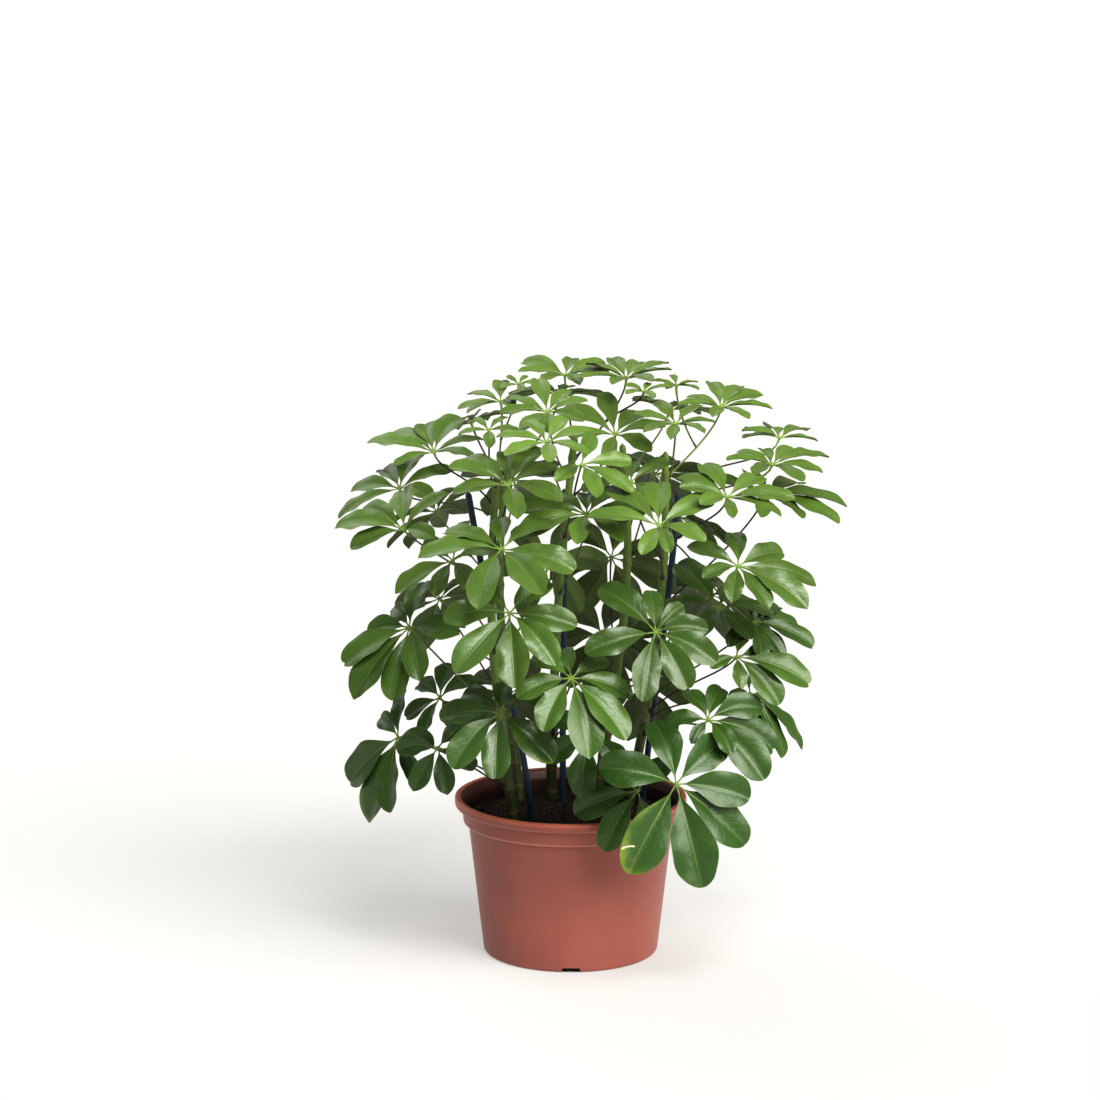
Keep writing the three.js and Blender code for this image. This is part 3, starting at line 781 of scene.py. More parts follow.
def dress_blank(blank: bpy.types.Object, degrees: float, *materials: bpy.types.Material) -> bpy.types.Object:
    """Finishes a blank, from which pieces are copied.

    Args:
        blank: the blank.
        degrees: the angle past which its edges stay crisp.
        materials: its material slots, of which all its faces take the last.

    Returns:
        The blank.
    """
    for material in materials:
        blank.data.materials.append(material)
    for face in blank.data.polygons:
        face.material_index = len(materials) - 1
    smooth_shade(blank, degrees)
    mark(blank, (0, 0, 0))
    return blank


def laid_copy(blank: bpy.types.Object, points: np.ndarray,
              growth: np.ndarray | Sequence[float]) -> bpy.types.Object:
    """Copies a blank and moves the copy's vertices.

    Args:
        blank: the piece that is copied, with its attributes and material slots.
        points: where each vertex goes, in metres.
        growth: the copy's growth attribute.

    Returns:
        The copy, with a mesh of its own.
    """
    copy = blank.copy()
    copy.data = blank.data.copy()
    copy.data.vertices.foreach_set("co", np.ascontiguousarray(points).ravel())
    bpy.context.scene.collection.objects.link(copy)
    mark(copy, growth)
    copy.data.update()
    return copy


def join(pieces: Sequence[bpy.types.Object], name: str) -> bpy.types.Object:
    """Joins pieces into the first of them.

    Args:
        pieces: the pieces.
        name: the joined piece's name.

    Returns:
        The joined piece.
    """
    make_active(pieces[0])
    for piece in pieces:
        piece.select_set(True)
    bpy.ops.object.join()
    return named(pieces[0], name)


def discard(*pieces: bpy.types.Object) -> None:
    """Removes blanks and cutters that have done their work."""
    for piece in pieces:
        bpy.data.objects.remove(piece)


def declare(piece: bpy.types.Object, slot: str, *nodes: str) -> None:
    """Attaches a piece to the plant's body, hides the CAD nodes that it stands for, and reports it.

    Args:
        piece: the piece, which rides on the plant.
        slot: the record's material slot that it takes its finish from; not used.
        nodes: the CAD nodes that it stands for.
    """
    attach(piece, "root")
    if nodes:
        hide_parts(*nodes)
    LOG.info("%s: %d faces", piece.name, len(piece.data.polygons))


class Line:
    """A smooth line in space as closely spaced points, found by share of its length or by height."""

    STEPS = 60
    NEAR = 0.01

    def __init__(self, points: np.ndarray) -> None:
        """Measures the line.

        Args:
            points: points along it, so close that it is straight between them.
        """
        self.points = points
        steps = np.linalg.norm(np.diff(points, axis=0), axis=1)
        self.length = float(steps.sum())
        self.shares = np.concatenate([[0.0], np.cumsum(steps)]) / self.length

    @classmethod
    def through(cls, stations: Sequence[Place]) -> "Line":
        """A centripetal curve through stations, as the model's source draws its stems.

        Args:
            stations: the points that it passes.

        Returns:
            The line.
        """
        given = [np.array(p, float) for p in stations]
        padded = [2 * given[0] - given[1], *given, 2 * given[-1] - given[-2]]
        points = []
        for p0, p1, p2, p3 in zip(padded, padded[1:], padded[2:], padded[3:]):
            d0, d1, d2 = (np.linalg.norm(b - a) ** 0.5 for a, b in ((p0, p1), (p1, p2), (p2, p3)))
            t1 = d1 * ((p1 - p0) / d0 - (p2 - p0) / (d0 + d1) + (p2 - p1) / d1)
            t2 = d1 * ((p2 - p1) / d1 - (p3 - p1) / (d1 + d2) + (p3 - p2) / d2)
            for u in np.arange(cls.STEPS) / cls.STEPS:
                bend = (2 * p1 - 2 * p2 + t1 + t2) * u**3 + (3 * p2 - 3 * p1 - 2 * t1 - t2) * u**2
                points.append(p1 + t1 * u + bend)
        return cls(np.array([*points, given[-1]]))

    @classmethod
    def bezier(cls, *handles: np.ndarray) -> "Line":
        """A Bezier curve.

        Args:
            handles: its handles, any number of them.

        Returns:
            The line.
        """
        u = np.linspace(0, 1, cls.STEPS)[:, None]
        rows = [np.broadcast_to(h, (cls.STEPS, 3)) for h in handles]
        while len(rows) > 1:
            rows = [a * (1 - u) + b * u for a, b in zip(rows, rows[1:])]
        return cls(rows[0])

    def at(self, share: np.ndarray | float) -> np.ndarray:
        """The point, or points, at shares of the length."""
        return np.stack([np.interp(share, self.shares, self.points[:, i]) for i in range(3)], axis=-1)

    def along(self, share: np.ndarray | float) -> np.ndarray:
        """The line's direction at shares of its length."""
        return unit(self.at(np.minimum(share + self.NEAR, 1)) - self.at(np.maximum(share - self.NEAR, 0)))

    def share_at_height(self, height: float) -> float:
        """The share at which a rising line reaches a height."""
        return float(np.interp(height, self.points[:, 2], self.shares))


def even_fan(count: int, length: float, turn: float) -> tuple[Span, ...]:
    """An even fan of leaflets, shorter on the stem's side, each a little off its place.

    Args:
        count: how many leaflets.
        length: the longest one's length.
        turn: the first one's angle.

    Returns:
        Each leaflet's angle and length.
    """
    shorter_behind, turn_varies, reach_varies = 0.24, 7, 0.09
    fan = []
    for k in range(count):
        angle = turn + 360 * k / count
        behind = (1 - math.cos(math.radians(angle))) / 2
        reach = length * (1 - shorter_behind * behind)
        reach *= 1 + reach_varies * wobble(length + turn, k, Trait.FAN_REACH)
        fan.append((angle + turn_varies * wobble(length + turn, k, Trait.FAN_TURN), reach))
    return tuple(fan)


@dataclass(frozen=True)
class Rib:
    """A leaflet's midrib, from the hub to its tip, and how its blade lies on it. Millimetres."""

    hub: np.ndarray
    middle: np.ndarray
    tip: np.ndarray
    upper: np.ndarray
    roll: float
    length: float
    half_width: float

    def frames(self, share: np.ndarray, twist: float) -> tuple[np.ndarray, np.ndarray, np.ndarray]:
        """The rib's centre and directions at shares of its length.

        Args:
            share: from 0 at the hub to 1 at the tip.
            twist: how much further the blade is rolled at its tip, in radians.

        Returns:
            The centre, the way across to the right, and the way up out of the blade.
        """
        s = share[:, None]
        centre = self.hub * (1 - s) ** 2 + self.middle * 2 * s * (1 - s) + self.tip * s**2
        along = unit((self.middle - self.hub) * (1 - s) + (self.tip - self.middle) * s)
        flat = unit(np.cross(along, self.upper))
        angle = (self.roll + twist * share)[:, None]
        across = flat * np.cos(angle) + np.cross(along, flat) * np.sin(angle)
        return centre, across, np.cross(across, along)


@dataclass(frozen=True)
class LeafPlan:
    """A compound leaf as the model's source gives it, in millimetres and degrees.

    hub is where its leaflets meet. face is the way its upper side looks: the turn from the front to the
    right, and the height above level. fan gives each leaflet's angle, from straight down the leaf to the
    right, and its length. The petiole leaves a stem at the height start, or forks from the petiole of the
    last unforked leaf at the share fork.
    """

    hub: Place
    face: Span
    fan: tuple[Span, ...]
    stem: str = ""
    start: float = 0.0
    fork: float = 0.0

    OLD_BELOW = 250.0
    YOUNG_ABOVE = 600.0
    LEAST_RISE = 4
    YOUNG_RISE = 18
    RISE_VARIES = 5
    ROLL_VARIES = 12
    DROOP = 0.6
    YOUNG_DROOP = 0.3
    CURL = 0.25
    SLIMNESS = (2.14, 2.9)
    BENDS = (
        (0, 0), (9, 0), (-9, 0), (18, 0), (-18, 0), (6, 12), (6, -12), (-10, 12), (-10, -12),
        (28, 0), (-28, 0), (20, 14), (20, -14), (-20, 14), (-20, -14), (38, 0), (-38, 0),
    )
    SHORTENED = (1.0, 0.82, 0.66)
    TIP_MISS = 0.05

    def directions(self) -> tuple[np.ndarray, np.ndarray, np.ndarray]:
        """The three directions of the leaf.

        Returns:
            The way its upper side looks, the way down it, and the way across it to the right.
        """
        turn, height = (math.radians(a) for a in self.face)
        out = np.array([math.sin(turn), -math.cos(turn), 0.0])
        upper = out * math.cos(height) + UP * math.sin(height)
        down = out * math.sin(height) - UP * math.cos(height)
        return upper, down, np.cross(UP, out)

    def youth(self) -> float:
        """From 0 for an old leaf low on the plant to 1 for a young one at its top."""
        return float(np.clip((self.hub[2] - self.OLD_BELOW) / (self.YOUNG_ABOVE - self.OLD_BELOW), 0, 1))

    def rib(self, number: int, k: int, bend: Span, shortened: float) -> Rib:
        """A leaflet's rib.

        Args:
            number: the leaf's index on the plant.
            k: the leaflet's index in its fan.
            bend: how far it is bent clear, as rise and turn in degrees.
            shortened: the share of its length that it keeps.

        Returns:
            The rib, by the same rule as in the model's source.
        """
        upper, down, side = self.directions()
        youth = self.youth()
        angle = math.radians(self.fan[k][0] + bend[1])
        length = shortened * self.fan[k][1]
        varied = self.RISE_VARIES * wobble(number, k, Trait.RISE)
        rise = math.radians(self.LEAST_RISE + self.YOUNG_RISE * youth + varied + bend[0])
        flat = down * math.cos(angle) + side * math.sin(angle)
        start = flat * math.cos(rise) + upper * math.sin(rise)
        end = unit(start - UP * (self.DROOP - self.YOUNG_DROOP * youth) - upper * self.CURL)
        hub = np.array(self.hub, float)
        middle = hub + start * length / 2
        roll = math.radians(self.ROLL_VARIES * wobble(number, k, Trait.ROLL))
        slimness = self.SLIMNESS[0] * (1 - youth) + self.SLIMNESS[1] * youth
        return Rib(hub, middle, middle + end * length / 2, upper, roll, length, length / slimness / 2)

    def packed_rib(self, number: int, k: int, solid: np.ndarray) -> Rib:
        """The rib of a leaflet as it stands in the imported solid, found by its tip.

        Args:
            number: the leaf's index on the plant.
            k: the leaflet's index in its fan.
            solid: the vertices of the leaf's node.

        Returns:
            The rib whose tip is one of them.
        """
        for shortened in self.SHORTENED:
            for bend in self.BENDS:
                rib = self.rib(number, k, bend, shortened)
                if np.min(np.linalg.norm(solid - rib.tip, axis=1)) < self.TIP_MISS:
                    return rib
        LOG.warning("leaf %d, leaflet %d: no tip found", number, k)
        return self.rib(number, k, self.BENDS[0], 1.0)


# The plant's leaves, in the order of the model's source: the ones that show, then the ones at the back.
LEAVES = (
    LeafPlan((82, -190, 379), (4, 33),
             ((-145, 80), (-85, 75), (-15, 75), (30, 70), (70, 70), (105, 55), (145, 45), (182, 52)),
             stem="right", start=300),
    LeafPlan((-61, -190, 398), (0, 38),
             ((-145, 55), (-96, 68), (-45, 84), (5, 82), (45, 74), (88, 70), (140, 58)),
             stem="left", start=330),
    LeafPlan((-70, -160, 456), (-4, 62),
             ((-175, 55), (-122, 70), (-90, 84), (-12, 88), (35, 90), (75, 84), (135, 72)),
             stem="left", start=380),
    LeafPlan((-1, -200, 335), (4, 42),
             ((-175, 45), (-138, 50), (-80, 60), (-32, 66), (12, 85), (44, 85), (84, 66), (132, 50)),
             stem="centre", start=225),
    LeafPlan((-71, -180, 295), (-8, 44),
             ((180, 45), (-134, 55), (-98, 65), (-42, 74), (2, 72), (58, 76), (130, 56)),
             stem="left", start=215),
    LeafPlan((104, -170, 220), (10, 20),
             ((-172, 76), (-122, 84), (-38, 102), (14, 106), (58, 96), (92, 80), (142, 78)),
             stem="right", start=190),
    LeafPlan((86, -150, 478), (0, 58),
             ((180, 74), (-142, 80), (-104, 74), (-24, 50), (16, 42), (66, 54), (130, 70)),
             stem="right", start=400),
    LeafPlan((137, -126, 275), (18, 38),
             ((-110, 44), (-52, 32), (16, 50), (42, 84), (74, 80), (112, 64), (154, 52), (-166, 46)),
             stem="right", start=230),
    LeafPlan((166, -120, 431), (22, 52),
             ((-140, 58), (-82, 46), (-30, 50), (14, 60), (44, 84), (76, 84), (114, 62), (166, 58)),
             stem="right", start=330),
    LeafPlan((-63, -120, 513), (-2, 66),
             ((-175, 64), (-142, 72), (-112, 66), (-82, 58), (12, 60), (66, 64), (122, 58), (158, 70)),
             stem="left", start=440),
    LeafPlan((-164, -70, 358), (-38, 38),
             ((-170, 62), (-132, 46), (-90, 58), (-54, 82), (-24, 92), (6, 78), (44, 70), (105, 64)),
             stem="left", start=270),
    LeafPlan((-176, -80, 246), (-48, 14),
             ((-168, 56), (-126, 46), (-58, 88), (-20, 96), (16, 78), (58, 60), (108, 54)),
             stem="left", start=185),
    LeafPlan((-170, -50, 455), (-46, 48),
             ((-144, 72), (-108, 76), (-82, 82), (-58, 62), (96, 50), (158, 62)), stem="left", start=395),
    LeafPlan((-177, 30, 483), (-46, 62),
             ((-160, 66), (-122, 66), (-82, 66), (-40, 72), (92, 56), (150, 62)),
             stem="back_left", start=440),
    LeafPlan((-141, 24, 522), (-24, 68),
             ((-178, 80), (-150, 74), (-120, 76), (-92, 76), (-48, 46), (84, 52), (136, 56)),
             stem="left", start=480),
    LeafPlan((155, -110, 499), (18, 66),
             ((-175, 66), (-145, 62), (-108, 52), (-64, 46), (-10, 36), (46, 62), (74, 70), (126, 62)),
             stem="right", start=431),
    LeafPlan((199, 0, 481), (52, 68),
             ((-150, 62), (-60, 50), (-8, 58), (26, 84), (58, 94), (100, 76), (150, 62)),
             stem="right", start=370),
    LeafPlan((204, -30, 518), (44, 77),
             ((-170, 46), (-122, 52), (-70, 50), (-5, 50), (48, 54), (80, 72), (110, 60), (148, 46)),
             stem="right", start=470),
    LeafPlan((217, 66, 530), (96, 80),
             ((-150, 52), (0, 42), (54, 62), (92, 68), (134, 48), (176, 42)), stem="right", start=485),
    LeafPlan((153, 4, 572), (14, 78),
             ((-138, 42), (-90, 48), (-30, 40), (30, 42), (82, 54), (114, 56), (144, 54), (176, 56)),
             stem="right", start=505),
    LeafPlan((108, 22, 592), (20, 80), even_fan(5, 32, 24), fork=0.45),
    LeafPlan((186, -50, 360), (38, 54),
             ((-72, 50), (-24, 50), (16, 50), (50, 70), (82, 58), (116, 48), (168, 62)),
             stem="right", start=270),
    LeafPlan((167, -90, 332), (28, 44),
             ((-88, 34), (-16, 38), (32, 66), (64, 84), (104, 60), (156, 50)), stem="right", start=255),
    LeafPlan((150, -52, 374), (0, 68),
             ((-152, 84), (-100, 60), (-30, 50), (40, 56), (100, 60), (155, 50)), stem="right", start=290),
    LeafPlan((15, -100, 480), (-6, 68),
             ((-175, 52), (-132, 60), (-96, 74), (-60, 80), (-5, 58), (45, 60), (100, 60), (155, 64)),
             stem="centre", start=380),
    LeafPlan((-25, -106, 554), (0, 66),
             ((-155, 48), (-105, 52), (-55, 54), (5, 48), (55, 54), (108, 50), (158, 48)),
             stem="centre", start=470),
    LeafPlan((10, -98, 530), (24, 54),
             ((-64, 46), (-5, 54), (42, 62), (92, 56), (150, 50)), stem="centre", start=440),
    LeafPlan((105, -60, 565), (0, 72),
             ((-155, 46), (-108, 46), (-60, 40), (-10, 38), (45, 42), (98, 42), (145, 46)),
             stem="right", start=490),
    LeafPlan((45, -10, 546), (0, 60),
             ((-170, 64), (-132, 68), (-80, 52), (-15, 44), (55, 48), (108, 54), (155, 66)),
             stem="centre", start=480),
    LeafPlan((-24, -30, 572), (-6, 64),
             ((-165, 58), (-122, 50), (-80, 50), (-34, 46), (8, 50), (66, 46), (112, 44), (156, 46)),
             stem="centre", start=500),
    LeafPlan((57, 40, 596), (0, 82),
             ((-165, 56), (-122, 50), (-70, 56), (-20, 46), (35, 48), (84, 50), (126, 56), (165, 54)),
             stem="centre", start=520),
    LeafPlan((74, -8, 590), (14, 74), even_fan(5, 28, 10), fork=0.5),
    LeafPlan((-6, 70, 595), (0, 82),
             ((-130, 60), (-84, 50), (-35, 44), (20, 46), (76, 50), (124, 52), (172, 54)),
             stem="centre", start=535),
    LeafPlan((-72, 16, 576), (-50, 76),
             ((-134, 54), (-86, 48), (-42, 46), (4, 48), (72, 42), (150, 46)), stem="left", start=505),
    LeafPlan((-54, 44, 590), (-10, 70), even_fan(5, 26, 16), fork=0.55),
    LeafPlan((-83, -60, 559), (-16, 66), even_fan(5, 36, 12), stem="left", start=500),
    LeafPlan((-119, -96, 432), (-36, 48),
             ((-170, 56), (-118, 58), (-52, 68), (4, 46), (60, 52), (124, 54)), stem="left", start=350),
    LeafPlan((-135, -20, 273), (-36, 40),
             ((-166, 56), (-122, 50), (-62, 46), (-8, 46), (60, 50), (150, 46)), stem="left", start=225),
    LeafPlan((-134, -124, 246), (-10, 24),
             ((-100, 46), (-32, 50), (18, 48), (76, 46), (150, 42)), stem="left", start=190),
    LeafPlan((66, -134, 204), (-20, 20),
             ((-134, 58), (-80, 74), (-30, 70), (34, 60), (150, 50)), stem="right", start=185),
    LeafPlan((186, 6, 272), (62, 36),
             ((-100, 50), (-42, 54), (-8, 76), (26, 84), (66, 46), (150, 50)), stem="right", start=245),
    LeafPlan((19, -120, 258), (2, 22),
             ((-130, 48), (-70, 52), (-10, 64), (50, 52), (130, 48)), stem="centre", start=215),
    LeafPlan((60, -56, 505), (-12, 62), even_fan(6, 58, 0), stem="right", start=420),
    LeafPlan((104, 112, 552), (132, 74), even_fan(8, 58, 10), stem="back_right", start=490),
    LeafPlan((-12, 150, 562), (178, 72), even_fan(7, 68, -6), stem="back_left", start=485),
    LeafPlan((-104, 112, 538), (-130, 68), even_fan(8, 62, 14), stem="back_left", start=480),
    LeafPlan((116, 96, 440), (128, 50), even_fan(7, 68, 4), stem="back_right", start=400),
    LeafPlan((168, 62, 364), (108, 44), even_fan(7, 64, 18), fork=0.4),
    LeafPlan((92, 204, 468), (155, 52), even_fan(8, 82, -8), stem="back_right", start=390),
    LeafPlan((-60, 206, 462), (-166, 54), even_fan(7, 80, 10), stem="back_left", start=400),
    LeafPlan((-142, 132, 440), (-132, 46), even_fan(8, 72, -4), stem="back_left", start=370),
    LeafPlan((-166, 74, 352), (-108, 42), even_fan(7, 64, 12), fork=0.4),
    LeafPlan((150, 166, 344), (138, 42), even_fan(7, 82, 6), stem="back_right", start=250),
    LeafPlan((74, 158, 248), (166, 14), even_fan(7, 76, 12), fork=0.4),
    LeafPlan((36, 176, 296), (176, 20), even_fan(7, 84, -10), stem="back_right", start=300),
    LeafPlan((44, 146, 388), (172, 14), even_fan(7, 78, 34), fork=0.35),
    LeafPlan((-140, 170, 338), (-142, 40), even_fan(7, 80, 0), stem="back_left", start=245),
    LeafPlan((-66, 158, 236), (-164, 26), even_fan(7, 76, -12), fork=0.4),
    LeafPlan((-24, 128, 388), (-172, 18), even_fan(6, 76, 28), fork=0.3),
)
# How far some leaflets have yellowed, by leaf and leaflet, and how light some leaves are, by leaf.
YELLOWED = {(5, 2): 0.8, (5, 3): 0.4, (11, 3): 0.7, (4, 5): 0.65, (35, 2): 0.5, (21, 5): 0.4, (7, 0): 0.4}
LIGHTER = {5: 0.85, 39: 0.8}


class TipForm(Enum):
    """How a leaflet ends: its tip's depth as a share of its length, and its spread as one of its shoulder."""

    ROUND = (0.012, 0.5)
    POINTED = (0.035, 0.3)
    NOTCHED = (-0.03, 0.24)


@dataclass(frozen=True)
class LeafletBlank:
    """A flat leaflet, 1 long and 1 to each side, modelled once for each form of tip and then laid on ribs."""

    tip: TipForm
    across: int = 8
    along: int = 20
    stalk: float = 0.1
    foot_width: float = 0.02
    widest: float = 0.6
    base_taper: float = 1.25
    tip_bluntness: float = 2.2
    shoulder: float = 0.93
    row_spread: float = 0.62
    drawn_rows: int = 6
    drawn_by: int = 12
    parked: float = 2.0
    thickness: float = 1.0

    def width(self, share: float) -> float:
        """The blade's half-width.

        Args:
            share: where, as a share of the blade's length.

        Returns:
            The half-width, 1 at the blade's widest.
        """
        if share < self.widest:
            return math.sin(math.pi / 2 * share / self.widest) ** self.base_taper
        return math.sqrt(1 - ((share - self.widest) / (1 - self.widest)) ** self.tip_bluntness)

    def crown(self, across: float) -> float:
        """How far the blade reaches past its shoulder.

        Args:
            across: where, as a share of the shoulder's half-width.

        Returns:
            The reach, as a share of the blade's length.
        """
        side = across * self.width(self.shoulder)
        outline = self.widest + (1 - self.widest) * (1 - side * side) ** (1 / self.tip_bluntness)
        depth, spread = self.tip.value
        return outline - self.shoulder + depth * float(hump(across, spread))

    def build(self, finishes: Finishes) -> bpy.types.Object:
        """Models the blank: a grid whose rows are scaled to the outline and whose end is drawn out to a tip.

        Each row is moved down a level once it is shaped, so that no later pick takes it again.

        Args:
            finishes: the materials of its two faces.

        Returns:
            The blank.
        """
        deselect()
        bpy.ops.mesh.primitive_grid_add(
            x_subdivisions=self.across, y_subdivisions=self.along, size=2, location=(0, 0, 0)
        )
        blank = bpy.context.object
        blank.name = "leaflet_blank_" + self.tip.name.lower()
        with edited(blank):
            bpy.ops.transform.resize(value=(1, 0.5, 1), center_override=(0, -1, 0))
            bpy.ops.transform.translate(value=(0, 1, 0))
            for row in range(self.along, -1, -1):
                start = row / self.along
                eased = start * self.row_spread + (1 - self.row_spread) * math.sin(math.pi / 2 * start)
                share = self.shoulder * eased
                pick(blank, lambda co: abs(co.y - start) < 0.2 / self.along and co.z > -0.5)
                wide = self.width(share) if row else self.foot_width
                bpy.ops.transform.resize(value=(wide, 1, 1), center_override=(0, start, 0))
                bpy.ops.transform.translate(value=(0, share - start, -1))
            bpy.ops.mesh.select_all(action="SELECT")
            bpy.ops.transform.translate(value=(0, 0, 1))
            self.draw_out_tip(blank)
            bpy.ops.mesh.select_all(action="SELECT")
            bpy.ops.transform.resize(value=(1, 1 - self.stalk, 1), center_override=(0, 1, 0))
        self.mark_places(blank)
        blank.data.materials.append(finishes.upper)
        blank.data.materials.append(finishes.under)
        wall = blank.modifiers.new("thickness", "SOLIDIFY")
        wall.thickness = self.thickness
        wall.offset = 0
        wall.material_offset = 1
        wall.material_offset_rim = 1
        bpy.ops.object.modifier_apply(modifier=wall.name)
        smooth_shade(blank, 60)
        mark(blank, (0, 0, 0))
        return blank

    def mark_places(self, blank: bpy.types.Object) -> None:
        """Writes each vertex's place on the blade: to the side, along it, and how close to the edge.

        Args:
            blank: the blank, before it is given its thickness.
        """
        x, share, _ = points_of(blank).T
        column = np.tile(np.abs(np.linspace(-1, 1, self.across + 1)), self.along + 1)
        row = np.repeat(np.linspace(0, 1, self.along + 1), self.across + 1)
        mark(blank, np.stack([x, share, np.maximum(column, smooth(0.9, 1.0, row))], axis=1), BLADE)

    def draw_out_tip(self, blank: bpy.types.Object) -> None:
        """Pulls each column of the last rows out to the rounded, notched or pointed end.

        Args:
            blank: the blank in edit mode.
        """
        places = [vertex.co.copy() for vertex in bmesh.from_edit_mesh(blank.data).verts]
        rows = sorted({round(co.y, 5) for co in places})[-self.drawn_rows:]
        for row in rows:
            pull = (row / self.shoulder) ** self.drawn_by
            columns = sorted({round(co.x, 5) for co in places if abs(co.y - row) < SAME_PLACE})
            for column in columns:
                pick(blank, lambda co: abs(co.y - row) < SAME_PLACE and abs(co.x - column) < SAME_PLACE)
                reach = self.crown(column / columns[-1]) * pull
                bpy.ops.transform.translate(value=(0, self.parked + reach, 0))
        pick(blank, lambda co: co.y > 1.5)
        bpy.ops.transform.translate(value=(0, -self.parked, 0))


@dataclass(frozen=True)
class TubeBlank:
    """A straight tube of radius 1 from height 0 to 1, closed at both ends, that is laid along lines."""

    name: str
    sides: int
    rings: int

    def build(self, *materials: bpy.types.Material) -> bpy.types.Object:
        """Models the blank: a disc extruded ring by ring.

        Args:
            materials: its material slots, of which the last is used.

        Returns:
            The blank.
        """
        deselect()
        bpy.ops.mesh.primitive_circle_add(vertices=self.sides, radius=1, fill_type="NGON", location=(0, 0, 0))
        blank = bpy.context.object
        blank.name = self.name
        with edited(blank):
            for ring in range(self.rings):
                pick(blank, lambda co: co.z > (ring - 0.5) / self.rings)
                bpy.ops.mesh.extrude_region_move(TRANSFORM_OT_translate={"value": (0, 0, 1 / self.rings)})
        outward(blank)
        return dress_blank(blank, 50, *materials)


@dataclass(frozen=True)
class KnuckleBlank:
    """A ball of radius 1, drawn in at its underside and with a low boss on top, for the hub of each leaf."""

    segments: int = 12
    rings: int = 8

    def build(self, *materials: bpy.types.Material) -> bpy.types.Object:
        """Models the blank.

        Args:
            materials: its material slots, of which the last is used.

        Returns:
            The blank.
        """
        deselect()
        bpy.ops.mesh.primitive_uv_sphere_add(
            segments=self.segments, ring_count=self.rings, radius=1, location=(0, 0, 0)
        )
        blank = bpy.context.object
        blank.name = "knuckle_blank"
        with edited(blank):
            pick(blank, lambda co: co.z < -0.3)
            bpy.ops.transform.resize(value=(0.7, 0.7, 1.5), center_override=(0, 0, -0.3))
            pick(blank, lambda co: co.z > 0.8)
            bpy.ops.transform.translate(value=(0, 0, 0.15))
        return dress_blank(blank, 60, *materials)


def along_line(blank: bpy.types.Object, line: Line, radius: Callable[[np.ndarray], np.ndarray]) -> np.ndarray:
    """Where a tube blank's vertices go along a line.

    Args:
        blank: the tube.
        line: the line, in millimetres.
        radius: the tube's radius at shares of the line, in millimetres.

    Returns:
        The vertices' places, in metres.
    """
    x, y, share = points_of(blank).T
    tangent = line.along(share)
    spare = np.eye(3)[int(np.argmin(np.abs(unit(line.points[-1] - line.points[0]))))]
    first = unit(np.cross(tangent, spare))
    second = np.cross(tangent, first)
    around = first * x[:, None] - second * y[:, None]
    return (line.at(share) + radius(share)[:, None] * around) * MM


STEM_LINES = {
    "left": [
        (-56, -32, 62), (-60, -40, 150), (-70, -52, 240), (-80, -52, 340), (-80, -50, 440), (-74, -46, 515),
    ],
    "centre": [(-16, 60, 62), (-20, 58, 150), (-18, 30, 250), (-14, 8, 350), (-6, 0, 450), (4, 4, 545)],
    "right": [(54, 38, 62), (62, 32, 150), (78, 10, 250), (90, -8, 350), (96, -18, 440), (96, -16, 530)],
    "back_left": [
        (-50, 50, 62), (-54, 56, 150), (-66, 74, 250), (-74, 84, 350), (-72, 86, 440), (-62, 84, 510),
    ],
    "back_right": [(24, 80, 62), (30, 84, 150), (46, 96, 250), (58, 102, 350), (60, 98, 440), (54, 92, 520)],
}
CANE_LINES = {
    "left": [
        (-36, -30, 52), (-40, -36, 150), (-56, -36, 250), (-70, -36, 310), (-94, -36, 430), (-105, -36, 492),
    ],
    "centre": [(-8, 34, 52), (-8, 36, 150), (-8, 40, 260), (-7, 46, 380), (-7, 48, 480)],
    "right": [(72, 46, 52), (76, 36, 150), (86, 24, 250), (98, 14, 350), (106, 8, 430), (110, 4, 484)],
}


